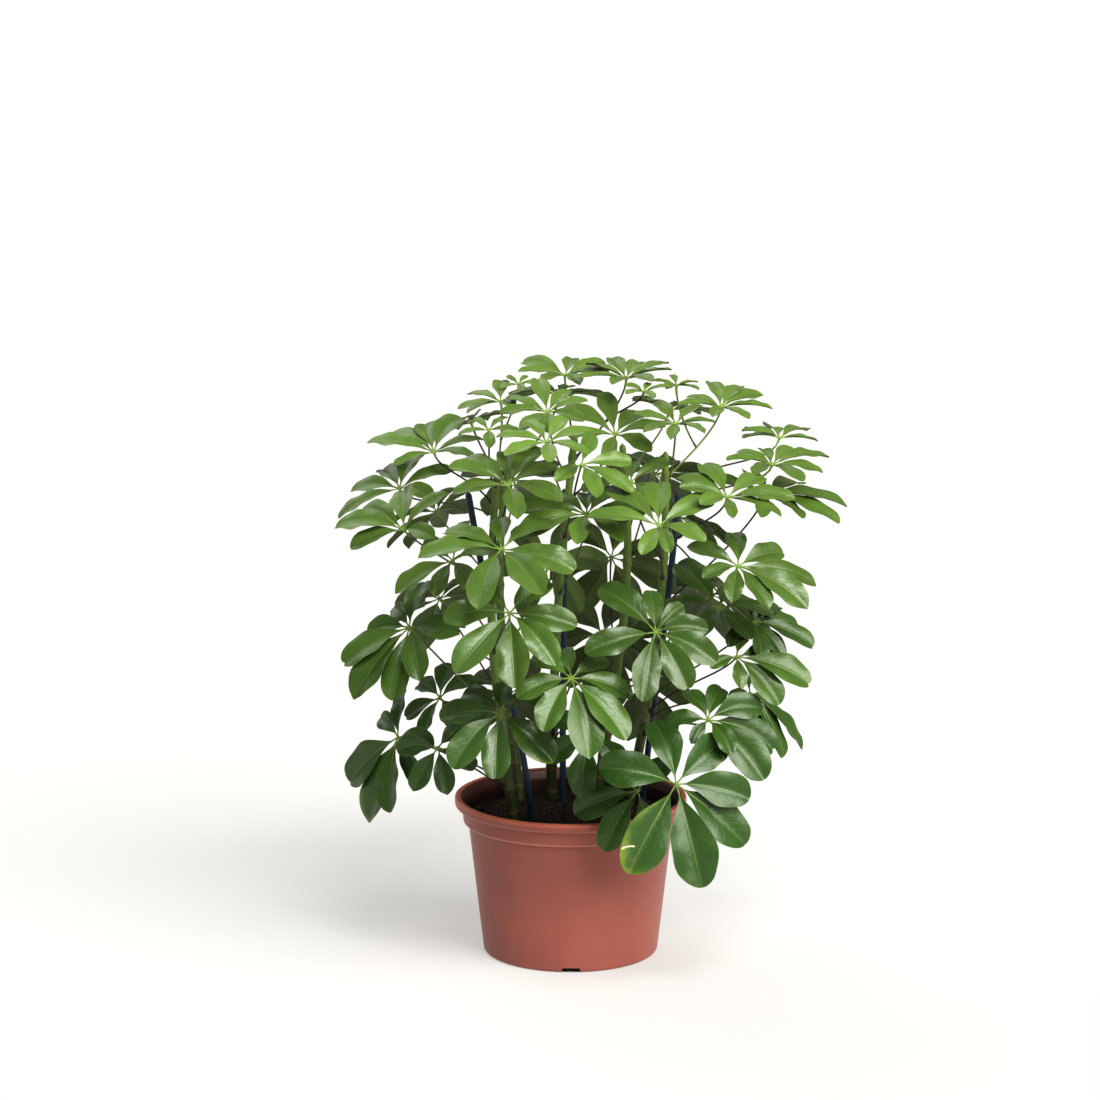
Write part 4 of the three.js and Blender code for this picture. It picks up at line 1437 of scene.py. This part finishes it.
@dataclass
class Stem:
    """One thick stem: it tapers, swells and is scarred where each petiole leaves it, and ends in a bud.

    Lengths and heights are in millimetres. feet holds the heights at which its petioles leave it.
    """

    side: str
    feet: list[float]
    foot_radius: float = 6.0
    top_radius: float = 3.6
    slimmed: float = 0.97
    swelling: float = 0.9
    swelling_height: float = 3.2
    scar_height: float = 1.6
    lowest_scar: float = 158.0
    bare_below_leaves: float = 8.0
    scar_every: float = 24.0
    scar_varies: float = 5.0
    bud_from: float = 0.985
    line: Line = field(init=False)

    def __post_init__(self) -> None:
        """Draws the stem's line."""
        self.line = Line.through(STEM_LINES[self.side])

    def radius(self, share: np.ndarray | float) -> np.ndarray | float:
        """The bare stem's radius at a share of its length."""
        return self.foot_radius + (self.top_radius - self.foot_radius) * share

    def scars(self) -> np.ndarray:
        """The shares of its length at which it has leaf scars: its leaves' own, and older ones below them.

        Returns:
            The shares.
        """
        heights = list(self.feet)
        for height in np.arange(self.lowest_scar, min(self.feet) - self.bare_below_leaves, self.scar_every):
            heights.append(height + self.scar_varies * wobble(height, len(self.side), Trait.SCAR_HEIGHT))
        return np.array([self.line.share_at_height(height) for height in heights])

    def build(self, blank: bpy.types.Object) -> bpy.types.Object:
        """Lays the stem's tube along its line.

        Args:
            blank: the tube.

        Returns:
            The stem.
        """
        scars = self.scars()

        def ringed(share: np.ndarray) -> np.ndarray:
            """The radius with the swellings, and the rounded bud at the top.

            Args:
                share: where, as shares of the line's length.

            Returns:
                The radii, in millimetres.
            """
            apart = (share[:, None] - scars[None]) * self.line.length
            bulge = self.swelling * hump(apart, self.swelling_height).max(axis=1)
            into_bud = np.clip((share - self.bud_from) / (1 - self.bud_from), 0, 1)
            bud = np.maximum(np.sqrt(1 - into_bud**2), 0.05)
            return (self.radius(share) * self.slimmed + bulge) * bud

        share = points_of(blank)[:, 2]
        apart = (share[:, None] - scars[None]) * self.line.length
        scarred = hump(apart, self.scar_height).max(axis=1)
        growth = np.stack([share, scarred, np.zeros_like(share)], axis=1)
        stem = laid_copy(blank, along_line(blank, self.line, ringed), growth)
        return named(stem, "leafy_stem_" + self.side)


@dataclass
class Cane:
    """One plastic cane, round-topped, with the small ridges of a moulded plant stick. Millimetres."""

    side: str
    radius: float = 3.5
    ridge: float = 0.22
    ridge_height: float = 1.732
    ridge_every: float = 46.0

    def build(self, blank: bpy.types.Object) -> bpy.types.Object:
        """Lays the cane's tube along its line.

        Args:
            blank: the tube.

        Returns:
            The cane.
        """
        line = Line.through(CANE_LINES[self.side])

        def moulded(share: np.ndarray) -> np.ndarray:
            """The radius with its ridges and round top.

            Args:
                share: where, as shares of the line's length.

            Returns:
                The radii, in millimetres.
            """
            run = share * line.length
            ridge = self.ridge * hump(run % self.ridge_every - self.ridge_every / 2, self.ridge_height)
            left = np.clip((line.length - run) / self.radius, 0, 1)
            top = np.maximum(np.sqrt(1 - (1 - left) ** 2), 0.05)
            return (self.radius - self.ridge + ridge) * top

        cane = laid_copy(blank, along_line(blank, line, moulded), (0, 0, 0))
        return named(cane, "plant_cane_" + self.side)


@dataclass(frozen=True)
class Leaflet:
    """One leaflet: its blade, and the stalk that runs on below it as its raised rib. Millimetres.

    number and k are the leaf's index on the plant and the leaflet's in its fan.
    """

    plan: LeafPlan
    number: int
    k: int
    rib: Rib

    BLADE_HALF = 0.3
    EDGE_THINNED = 0.6
    TWIST_VARIES = 10
    WIDTH_VARIES = 0.05
    SWAY = 0.14
    FOLD = 0.24
    ARCH, ARCH_VARIES = 0.3, 0.1
    WAVES, WAVES_VARY = 2.2, 0.7
    RUFFLE, RUFFLE_SHIFT = 0.016, 1.3
    EDGE_WAVE, EDGE_WAVES, EDGE_SHIFT = 0.055, 0.8, 1.9
    QUILT, QUILTED = 0.22, 8
    TRIMMED = 0.97
    STALK_RADIUS = 0.85
    STALK_SHARE = 0.86
    STALK_BELOW = 0.45

    def vary(self, trait: Trait) -> float:
        """This leaflet's own number for a trait, from -1 to 1."""
        return wobble(self.number, self.k, trait)

    def half_width(self) -> float:
        """Half the blade's greatest width."""
        return self.rib.half_width * (1 + self.WIDTH_VARIES * self.vary(Trait.WIDTH))

    def frames(self, share: np.ndarray) -> tuple[np.ndarray, np.ndarray, np.ndarray]:
        """The rib as it grew, swayed to one side and twisted.

        Args:
            share: from 0 at the hub to 1 at the tip.

        Returns:
            Its centre, the way across to the right, and the way up out of the blade.
        """
        twist = math.radians(self.TWIST_VARIES * self.vary(Trait.TWIST))
        centre, across, above = self.rib.frames(share, twist)
        sway = self.SWAY * self.half_width() * self.vary(Trait.SWAY)
        return centre + across * (sway * np.sin(math.pi * share))[:, None], across, above

    def blade(self, blank: bpy.types.Object) -> np.ndarray:
        """Where a blade's vertices go: folded along the rib, arched to each side, quilted and ruffled.

        Args:
            blank: the blade's blank.

        Returns:
            Their places, in metres.
        """
        x, share, side = points_of(blank).T
        half = self.half_width()
        arch = self.ARCH + self.ARCH_VARIES * self.vary(Trait.ARCH)
        lift = half * ((self.FOLD + arch) * np.abs(x) - arch * x * x)
        waves = 2 * math.pi * (self.WAVES + self.WAVES_VARY * self.vary(Trait.WAVES)) * share
        start = math.pi * self.vary(Trait.WAVE_START)
        ruffle = self.RUFFLE * self.rib.length * x * x
        ruffle *= np.sin(waves + start + self.RUFFLE_SHIFT * np.sign(x))
        edge = self.EDGE_WAVE * np.sin(self.EDGE_WAVES * waves - 2 * start + self.EDGE_SHIFT * np.sign(x))
        edge *= smooth(0.25, 0.5, share) * (1 - smooth(0.85, 1.0, share))
        quilt = self.QUILT * np.sin(2 * math.pi * self.QUILTED * share) * np.abs(x) * (1 - np.abs(x)) * 2
        depth = self.BLADE_HALF * np.sign(side) * (1 - self.EDGE_THINNED * x * x)
        height = lift + ruffle * smooth(0.2, 0.5, share) + quilt + depth
        reach = half * self.TRIMMED * x * (1 + edge)
        centre, across, above = self.frames(share)
        return (centre + across * reach[:, None] + above * height[:, None]) * MM

    def youth(self) -> float:
        """From 0 for old to 1 for young, a little varied from leaf to leaf."""
        return float(np.clip(self.plan.youth() + 0.12 * wobble(self.number, 0, Trait.YOUTH), 0, 1))

    def tone(self) -> float:
        """How light the blade is, varied from leaf to leaf and less from leaflet to leaflet."""
        varied = 0.28 * wobble(self.number, 0, Trait.LEAF_TONE) + 0.2 * self.vary(Trait.LEAFLET_TONE)
        return LIGHTER.get(self.number, 0.5 + varied)

    def yellowing(self) -> float:
        """How far the blade has yellowed: a few named ones much, others little or not at all."""
        return YELLOWED.get((self.number, self.k), max(0.0, 0.6 * self.vary(Trait.YELLOWING) - 0.15))

    def build(self, blank: bpy.types.Object, stalk: bpy.types.Object) -> list[bpy.types.Object]:
        """Lays the blade and its stalk on the rib.

        Args:
            blank: the blade's blank.
            stalk: the stalk's blank.

        Returns:
            The two pieces.
        """
        blade = laid_copy(blank, self.blade(blank), (self.youth(), self.tone(), self.yellowing()))
        x, y, share = points_of(stalk).T
        share = share * self.STALK_SHARE
        centre, across, above = self.frames(share)
        thinning = 1 - smooth(0.1, 0.3, share) * 0.35
        width = self.STALK_RADIUS * thinning * (1 - smooth(0.3, self.STALK_SHARE, share) * 0.85)
        below = smooth(0.09, 0.2, share) * self.STALK_BELOW
        ring = across * (x * width)[:, None] + above * (y * width * 0.9 - below)[:, None]
        paler = 1 - smooth(0.05, 0.5, share) * 0.6
        growth = np.stack([np.full_like(share, self.youth()), paler, np.zeros_like(share)], axis=1)
        return [blade, laid_copy(stalk, (centre + ring) * MM, growth)]


@dataclass
class Foliage:
    """All compound leaves, one piece for each leaf node of the frame. Millimetres."""

    stems: dict[str, Stem]
    gap: float = 0.3
    climb: float = 40.0
    leaving: float = 0.38
    arriving: float = 0.22
    petiole_radius: float = 0.92
    clasp: float = 1.7
    fork_swelling: float = 0.5
    clasp_length: float = 4.5
    neck: float = 0.5
    neck_length: float = 7.0
    sunk: float = 1.5
    knuckle: float = 2.1
    knuckle_drop: float = 0.4
    young_above: float = 0.52
    form_limits: Span = (0.1, 0.72)

    def petiole(self, plan: LeafPlan, parent: Line | None) -> Line:
        """A leaf's petiole, from its foot on the stem or its parent petiole to its hub.

        Args:
            plan: the leaf.
            parent: the petiole that it forks from, if it does.

        Returns:
            The petiole's line.
        """
        upper, _, _ = plan.directions()
        hub = np.array(plan.hub, float)
        carrier = parent or self.stems[plan.stem].line
        share = plan.fork if parent else carrier.share_at_height(plan.start)
        core = carrier.at(share)
        away = unit((hub - core) * (1, 1, 0))
        tangent = carrier.along(share)
        seat = unit(away - tangent * float(away @ tangent))
        reach = 0.0 if parent else float(self.stems[plan.stem].radius(share)) + self.gap
        foot = core + seat * reach
        span = float(np.linalg.norm(foot - hub))
        climb = math.radians(self.climb)
        first = foot + (away * math.cos(climb) + UP * math.sin(climb)) * self.leaving * span
        return Line.bezier(foot, first, hub - upper * self.arriving * span, hub)

    def petiole_tube(self, blank: bpy.types.Object, line: Line, plan: LeafPlan,
                     number: int) -> bpy.types.Object:
        """The petiole: a broad foot that is sunk into the stem, a slim middle and a thicker neck at the hub.

        Args:
            blank: the tube.
            line: the petiole's line.
            plan: its leaf.
            number: the leaf's index.

        Returns:
            The petiole.
        """

        def profile(share: np.ndarray) -> np.ndarray:
            """The radius, with the swollen foot and the neck under the hub.

            Args:
                share: where, as shares of the line's length.

            Returns:
                The radii, in millimetres.
            """
            run = share * line.length
            foot = (self.fork_swelling if plan.fork else self.clasp) * hump(run, self.clasp_length)
            return self.petiole_radius + foot + self.neck * hump(line.length - run, self.neck_length)

        points = along_line(blank, line, profile)
        share = points_of(blank)[:, 2]
        if not plan.fork:
            points -= (line.along(0.0) * self.sunk * MM)[None] * (1 - smooth(0.0, 0.08, share))[:, None]
        brown = 0.5 + 0.3 * (1 - plan.youth()) + 0.35 * wobble(number, 3, Trait.BROWNING)
        browning = np.clip(brown * (1 - smooth(0.85, 1.0, share)), 0, 1)
        growth = np.stack([np.full_like(share, plan.youth()), smooth(0.7, 1.0, share), browning], axis=1)
        return laid_copy(blank, points, growth)

    def knuckle_at(self, blank: bpy.types.Object, plan: LeafPlan) -> bpy.types.Object:
        """The small knuckle in which the leaflets' stalks meet.

        Args:
            blank: the knuckle's blank.
            plan: the leaf.

        Returns:
            The knuckle.
        """
        upper, down, side = plan.directions()
        local = points_of(blank) * self.knuckle
        place = np.array(plan.hub, float) - upper * self.knuckle_drop
        points = place + side * local[:, :1] + down * local[:, 1:2] + upper * local[:, 2:] * 0.8
        return laid_copy(blank, points * MM, (plan.youth(), 1.0, 0.1))

    def build(self, solids: dict[str, np.ndarray], finishes: Finishes) -> None:
        """Args:
            solids: the vertices of each leaf node, in millimetres.
            finishes: the leaves' materials.
        """
        forms = [LeafletBlank(tip).build(finishes) for tip in TipForm]
        slots = (finishes.upper, finishes.under, finishes.stalk)
        stalk = TubeBlank("stalk_blank", 6, 10).build(*slots)
        tube = TubeBlank("petiole_blank", 8, 18).build(*slots)
        knuckle = KnuckleBlank().build(*slots)
        gathered: dict[str, list[bpy.types.Object]] = {}
        node, parent = 0, None
        for number, plan in enumerate(LEAVES):
            node += not plan.fork
            name = f"leaf_{node:02d}"
            line = self.petiole(plan, parent if plan.fork else None)
            pieces = gathered.setdefault(name, [])
            pieces += [self.petiole_tube(tube, line, plan, number), self.knuckle_at(knuckle, plan)]
            for k in range(len(plan.fan)):
                leaflet = Leaflet(plan, number, k, plan.packed_rib(number, k, solids[name]))
                form = forms[sum(leaflet.vary(Trait.TIP_FORM) > limit for limit in self.form_limits)]
                pieces += leaflet.build(form, stalk)
            if not plan.fork:
                parent = line
        for name, pieces in gathered.items():
            hub_height = points_of(pieces[1])[:, 2].mean()
            slot = "young_leaf" if hub_height > self.young_above else "leaf"
            declare(join(pieces, "compound_" + name), slot, name)
        discard(*forms, stalk, tube, knuckle)


def rounded(corners: Sequence[Place], steps: int = 5) -> list[Span]:
    """An outline with its corners rounded.

    Args:
        corners: each corner's radius from the axis, height, and rounding.
        steps: how many points make a round corner.

    Returns:
        The outline's points.
    """
    points: list[Span] = [corners[0][:2]]
    for before, corner, after in zip(corners, corners[1:], corners[2:]):
        place = np.array(corner[:2])
        if corner[2] == 0:
            points.append(tuple(place))
            continue
        to_before, to_after = np.array(before[:2]) - place, np.array(after[:2]) - place
        cut = min(corner[2], 0.49 * np.linalg.norm(to_before), 0.49 * np.linalg.norm(to_after))
        first, last = place + unit(to_before) * cut, place + unit(to_after) * cut
        for u in np.linspace(0, 1, steps):
            points.append(tuple(first * (1 - u) ** 2 + place * 2 * u * (1 - u) + last * u**2))
    points.append(corners[-1][:2])
    return points


def turned(name: str, outline: Sequence[Span], sides: int) -> bpy.types.Object:
    """Turns an outline round the vertical axis, as a ring that is extruded and scaled from point to point.

    Args:
        name: the piece's name.
        outline: radius and height of each point, in millimetres, from the axis round to the axis.
        sides: how many sides the turned piece has.

    Returns:
        The closed piece.
    """
    deselect()
    radius, height = outline[0]
    bpy.ops.mesh.primitive_circle_add(
        vertices=sides, radius=radius * MM, fill_type="NGON", location=(0, 0, height * MM)
    )
    piece = bpy.context.object
    settle(piece)
    with edited(piece):
        for next_radius, next_height in outline[1:]:
            rise = (next_height - height) * MM
            bpy.ops.mesh.extrude_region_move(TRANSFORM_OT_translate={"value": (0, 0, rise)})
            scale = next_radius / radius
            bpy.ops.transform.resize(value=(scale, scale, 1), center_override=(0, 0, next_height * MM))
            radius, height = next_radius, next_height
    outward(piece)
    return named(piece, name)


@dataclass
class Pot:
    """The nursery pot: a rolled lip on a collar, a tapered body, and a notched foot with its drain holes.

    Lengths are in millimetres, and each width named after a part of the pot is its outer radius.
    """

    height: float = 165.0
    rim: float = 120.5
    lip: float = 10.0
    lip_width: float = 7.0
    collar: float = 112.5
    collar_height: float = 16.0
    collar_step: float = 2.0
    body_top: float = 106.5
    base: float = 90.5
    wall: float = 3.0
    floor: float = 6.0
    notches: int = 4
    notch_height: float = 5.0
    notch_width: float = 18.4
    notch_depth: float = 16.0
    notch_bevel: float = 0.6
    drain_radius: float = 4.0
    drain_depth: float = 24.0
    drain_inset: float = 11.0
    sides: int = 144

    def outline(self) -> list[Span]:
        """The pot's wall, from the middle of its underside up and over to the middle of its floor.

        Returns:
            The outline's points.
        """
        lip_bottom = self.height - self.lip
        top = lip_bottom - self.collar_height - self.collar_step
        taper = (self.body_top - self.base) / top
        return rounded([
            (1.0, 0.0, 0), (self.base, 0.0, 4.0), (self.base + taper * 40, 40.0, 0),
            (self.body_top - 0.3, top - 0.6, 1.2), (self.collar - 0.8, top + self.collar_step, 1.6),
            (self.collar, lip_bottom, 1.6), (self.rim - 0.5, lip_bottom + 0.4, 3.6),
            (self.rim, lip_bottom + 5.5, 1.0), (self.rim, self.height, 4.2),
            (self.rim - self.lip_width, self.height - 0.6, 2.0), (self.collar - self.wall, lip_bottom, 1.5),
            (self.collar - self.wall - 0.4, top + self.collar_step, 1.5),
            (self.body_top - self.wall, top, 1.5), (self.base - self.wall + 0.5, self.floor, 3.0),
            (1.0, self.floor, 0),
        ])

    def notch(self, angle: float) -> bpy.types.Object:
        """A cutter for one notch in the foot, its edges bevelled.

        Args:
            angle: where it is round the foot, in radians.

        Returns:
            The cutter.
        """
        deselect()
        way = Vector((math.cos(angle), math.sin(angle), 0))
        size = Vector((self.notch_depth, self.notch_width, 2 * self.notch_height)) * MM
        bpy.ops.mesh.primitive_cube_add(
            size=1, location=way * self.base * MM, rotation=(0, 0, angle), scale=size
        )
        cutter = bpy.context.object
        settle(cutter)
        with edited(cutter):
            bpy.ops.mesh.bevel(offset=self.notch_bevel * MM, segments=2, affect="EDGES")
        return cutter

    def drain(self, angle: float) -> bpy.types.Object:
        """A cutter for the drain hole behind a notch.

        Args:
            angle: where it is round the foot, in radians.

        Returns:
            The cutter.
        """
        deselect()
        way = Vector((math.cos(angle), math.sin(angle), 0))
        bpy.ops.mesh.primitive_cylinder_add(
            vertices=24, radius=self.drain_radius * MM, depth=self.drain_depth * MM,
            location=way * (self.base - self.drain_inset) * MM,
        )
        cutter = bpy.context.object
        settle(cutter)
        return cutter

    def cut(self, pot: bpy.types.Object, cutter: bpy.types.Object) -> None:
        """Takes a cutter's shape out of the pot and throws the cutter away.

        Args:
            pot: the pot.
            cutter: the shape.
        """
        make_active(pot)
        cut = pot.modifiers.new("cut", "BOOLEAN")
        cut.operation = "DIFFERENCE"
        cut.solver = "EXACT"
        cut.object = cutter
        bpy.ops.object.modifier_apply(modifier=cut.name)
        discard(cutter)

    def build(self) -> None:
        pot = turned("nursery_pot", self.outline(), self.sides)
        for i in range(self.notches):
            angle = 2 * math.pi * i / self.notches - math.pi / 2
            self.cut(pot, self.notch(angle))
            self.cut(pot, self.drain(angle))
        smooth_shade(pot, 32)
        pot.data.materials.append(PotFinish().material())
        declare(pot, "pot", "pot")


@dataclass
class RootBall:
    """The soil: a turned plug that fills the pot, rough on top, with crumbs, bark and fibres strewn on it.

    Lengths are in millimetres. Each of the roughness's rows is a noise's spots to the metre and its height.
    """

    top: float = 148.0
    edge_drop: float = 5.0
    laid_under: float = 0.8
    radius: float = 101.8
    waist: Span = (128.0, 140.2)
    brim: float = 108.4
    foot_radius: float = 86.8
    foot: float = 6.4
    rings: int = 40
    sides: int = 96
    roughness: tuple[Span, ...] = ((55, 2.4), (190, 1.5), (420, 0.9))
    highest_lump: float = 2.0
    rough_above: float = 141.0
    rough_within: float = 0.995
    crumbs: int = 900
    crumb_size: Span = (0.7, 2.3)
    lump_every: int = 17
    lump_size: float = 1.5
    fibres: int = 420
    fibre_length: Span = (5, 15)
    fibre_radius: Span = (0.2, 0.42)
    strewn_within: float = 0.965
    seed: int = 7

    def surface(self) -> bpy.types.Object:
        """Turns the plug and roughens its top with noise.

        Returns:
            The plug.
        """
        reach = np.linspace(self.brim, 1.0, self.rings)
        crown = [(r, self.top - self.edge_drop * (r / self.brim) ** 3 - self.laid_under) for r in reach]
        side = [(self.radius, height) for height in self.waist]
        outline = [(1.0, self.foot), (self.foot_radius, self.foot), *side, *crown]
        soil = turned("root_ball", outline, self.sides)
        points = points_of(soil)
        for point in points:
            inside = math.hypot(point[0], point[1]) < self.brim * MM * self.rough_within
            if inside and point[2] > self.rough_above * MM:
                rough = sum(noise.noise(Vector(point) * scale) * height for scale, height in self.roughness)
                point[2] += min(rough, self.highest_lump) * MM
        soil.data.vertices.foreach_set("co", points.ravel())
        soil.data.update()
        smooth_shade(soil, 80)
        mark(soil, (0.4, 0.1, 0))
        return soil

    def crumb(self, number: int, ball: np.ndarray, chance: random.Random) -> np.ndarray:
        """A crumb or chip of bark.

        Args:
            number: which crumb it is.
            ball: the vertices of a ball of radius 1.
            chance: where its size, flatness and turn come from.

        Returns:
            Its vertices, about the place where it lies.
        """
        size = chance.uniform(*self.crumb_size) * (self.lump_size if number % self.lump_every == 0 else 1)
        local = ball * np.array([1.0, chance.uniform(0.5, 1), chance.uniform(0.35, 0.8)]) * size
        local *= 1 + 0.3 * np.array([[wobble(number, i, Trait.CRUMB_FORM)] for i in range(len(local))])
        spin = chance.uniform(0, 2 * math.pi)
        x = local[:, 0] * math.cos(spin) - local[:, 1] * math.sin(spin)
        y = local[:, 0] * math.sin(spin) + local[:, 1] * math.cos(spin)
        return np.stack([x, y, local[:, 2] + 0.2 * size], axis=1)

    def fibre(self, ground: np.ndarray, chance: random.Random) -> Line | None:
        """A fibre's line, bowed up and to one side.

        Args:
            ground: where its middle lies.
            chance: where its heading, length and bow come from.

        Returns:
            The line, or None where it would reach past the brim.
        """
        heading = chance.uniform(0, 2 * math.pi)
        length = chance.uniform(*self.fibre_length)
        ahead = np.array([math.cos(heading), math.sin(heading), 0.0])
        aside = np.array([-ahead[1], ahead[0], 0.0]) * chance.uniform(-0.35, 0.35) * length
        middle = ground + aside + UP * chance.uniform(0.4, 1.6)
        tilt = UP * 0.2
        handles = [ground - ahead * length / 2 - tilt, middle, ground + ahead * length / 2 + tilt]
        if max(math.hypot(handle[0], handle[1]) for handle in handles) >= self.brim - 0.8:
            return None
        return Line.bezier(*handles)

    def strewn(self, soil: bpy.types.Object, finish: bpy.types.Material) -> bpy.types.Object:
        """Strews crumbs and fibres on the soil.

        Args:
            soil: the plug.
            finish: the soil's material.

        Returns:
            All of them as one piece.
        """
        chance = random.Random(self.seed)
        surface = BVHTree.FromObject(soil, bpy.context.evaluated_depsgraph_get())
        deselect()
        bpy.ops.mesh.primitive_ico_sphere_add(subdivisions=1, radius=1, location=(0, 0, 0))
        crumb = bpy.context.object
        crumb.data.materials.append(finish)
        mark(crumb, (0, 0, 0))
        ball = points_of(crumb)
        fibre = TubeBlank("fibre_blank", 3, 5).build(finish)
        pieces = []
        for number in range(self.crumbs + self.fibres):
            reach = self.brim * self.strewn_within * math.sqrt(chance.random()) * MM
            turn = chance.uniform(0, 2 * math.pi)
            above = Vector((reach * math.cos(turn), reach * math.sin(turn), 0.3))
            hit, _, _, _ = surface.ray_cast(above, Vector((0, 0, -1)))
            ground = np.array(hit) / MM
            tone, dry = chance.random(), chance.random() ** 3
            if number < self.crumbs:
                points = (ground + self.crumb(number, ball, chance)) * MM
                pieces.append(laid_copy(crumb, points, (tone, dry, 0)))
                continue
            line = self.fibre(ground, chance)
            if line:
                width = chance.uniform(*self.fibre_radius)
                points = along_line(fibre, line, lambda share: width * (1.1 - share))
                pieces.append(laid_copy(fibre, points, (tone, 0.5 + dry / 2, 0)))
        discard(crumb, fibre)
        return join(pieces, "soil_crumbs_and_fibres")

    def build(self) -> None:
        finish = SoilFinish().material()
        soil = self.surface()
        soil.data.materials.append(finish)
        declare(soil, "soil", "soil")
        declare(self.strewn(soil, finish), "soil")


@dataclass(frozen=True)
class FarSoftbox:
    """One very large soft light, so far off that it lights the whole floor evenly.

    Its spread is how wide it looks from the plant, in degrees.
    """

    name: str
    place: Place
    spread: float
    power: float
    colour: tuple[float, float, float] = (1.0, 1.0, 1.0)

    def build(self) -> None:
        """Adds the light, shining from its place towards the plant."""
        data = bpy.data.lights.new(self.name, "SUN")
        data.angle = math.radians(self.spread)
        data.energy = self.power
        data.color = self.colour
        lamp = bpy.data.objects.new(self.name, data)
        lamp.location = self.place
        lamp.rotation_euler = Vector(self.place).to_track_quat("Z", "Y").to_euler()
        bpy.context.scene.collection.objects.link(lamp)


@dataclass
class Studio:
    """The pale seamless floor, the soft light and the camera, in metres and degrees.

    The lens and the sensor are in millimetres.
    """

    camera_place: Place = (-0.0215, -3.929, 1.188)
    pitch: float = 79.0
    lens: float = 85.0
    sensor: float = 24.0
    floor_size: float = 60.0
    sky: float = 0.3
    contrast: float = 0.8
    lights: tuple[FarSoftbox, ...] = (
        FarSoftbox("key_softbox", (2.2, -2.2, 2.25), 46.0, 4.6, (1.0, 0.98, 0.95)),
        FarSoftbox("front_softbox", (0.4, -2.2, 2.8), 18.0, 1.8),
        FarSoftbox("back_softbox", (-1.6, 2.4, 2.4), 50.0, 1.0),
    )

    def lay_floor(self) -> None:
        """Lays the floor, most of it behind the plant."""
        deselect()
        bpy.ops.mesh.primitive_plane_add(size=self.floor_size, location=(0, self.floor_size / 3, 0))
        floor = named(bpy.context.object, "studio_floor")
        settle(floor)
        floor.data.materials.append(FloorFinish().material())

    def set_camera(self) -> None:
        """Sets up the camera at the photograph's angle."""
        data = bpy.data.cameras.new("camera")
        data.sensor_width = self.sensor
        data.lens = self.lens
        camera = bpy.data.objects.new("camera", data)
        camera.location = self.camera_place
        camera.rotation_euler = (math.radians(self.pitch), 0, 0)
        bpy.context.scene.collection.objects.link(camera)
        bpy.context.scene.camera = camera

    def build(self) -> None:
        """Lays the floor, hangs the lights and sets up the camera."""
        self.lay_floor()
        world = bpy.data.worlds.new("studio_white")
        world.use_nodes = True
        background = world.node_tree.nodes["Background"]
        background.inputs["Color"].default_value = (1, 1, 1, 1)
        background.inputs["Strength"].default_value = self.sky
        bpy.context.scene.world = world
        for light in self.lights:
            light.build()
        self.set_camera()
        bpy.context.scene.view_settings.view_transform = "Standard"
        bpy.context.scene.view_settings.gamma = self.contrast


def corners(box: Iterable[Vector]) -> list[list[float]]:
    """A box's lowest and highest corners as plain lists."""
    return [[float(value) for value in corner] for corner in box]


def leaf_finishes() -> Finishes:
    """Makes the leaves' materials: the blade's two faces, and the stalks.

    Returns:
        The materials.
    """
    upper = BladeFinish(
        "leaf_upper_side", grown=paint(51, 81, 28), young=paint(106, 134, 58), rib=paint(140, 158, 88),
        roughness=0.33, wax=0.15, bump_depth=0.0004, rib_show=0.5,
    )
    under = BladeFinish(
        "leaf_underside", grown=paint(76, 94, 48), young=paint(108, 128, 70), rib=paint(124, 136, 86),
        roughness=0.5, wax=0.0, bump_depth=0.0005, rib_show=0.45,
    )
    return Finishes(upper.material(), under.material(), StalkFinish().material())


def build_stems() -> dict[str, Stem]:
    """Returns:
        The stems by their side.
    """
    blank = TubeBlank("stem_blank", 20, 150).build(StemFinish().material())
    stems = {}
    for side in STEM_LINES:
        stems[side] = Stem(side, [plan.start for plan in LEAVES if plan.stem == side])
        declare(stems[side].build(blank), "stem", "stem_" + side)
    discard(blank)
    return stems


def build_canes() -> None:
    blank = TubeBlank("cane_blank", 16, 120).build(CaneFinish().material())
    for side in CANE_LINES:
        declare(Cane(side).build(blank), "stake", "stake_" + side)
    discard(blank)


def main() -> None:
    """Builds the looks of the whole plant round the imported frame."""
    logging.basicConfig(level=logging.INFO, format="%(name)s: %(message)s")
    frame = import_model()
    solids = {name: points_of(node) / MM for name, node in frame["nodes"].items() if name.startswith("leaf_")}
    Studio().build()
    Pot().build()
    RootBall().build()
    stems = build_stems()
    build_canes()
    Foliage(stems).build(solids, leaf_finishes())
    bpy.context.view_layer.update()


if __name__ == "__main__":
    main()
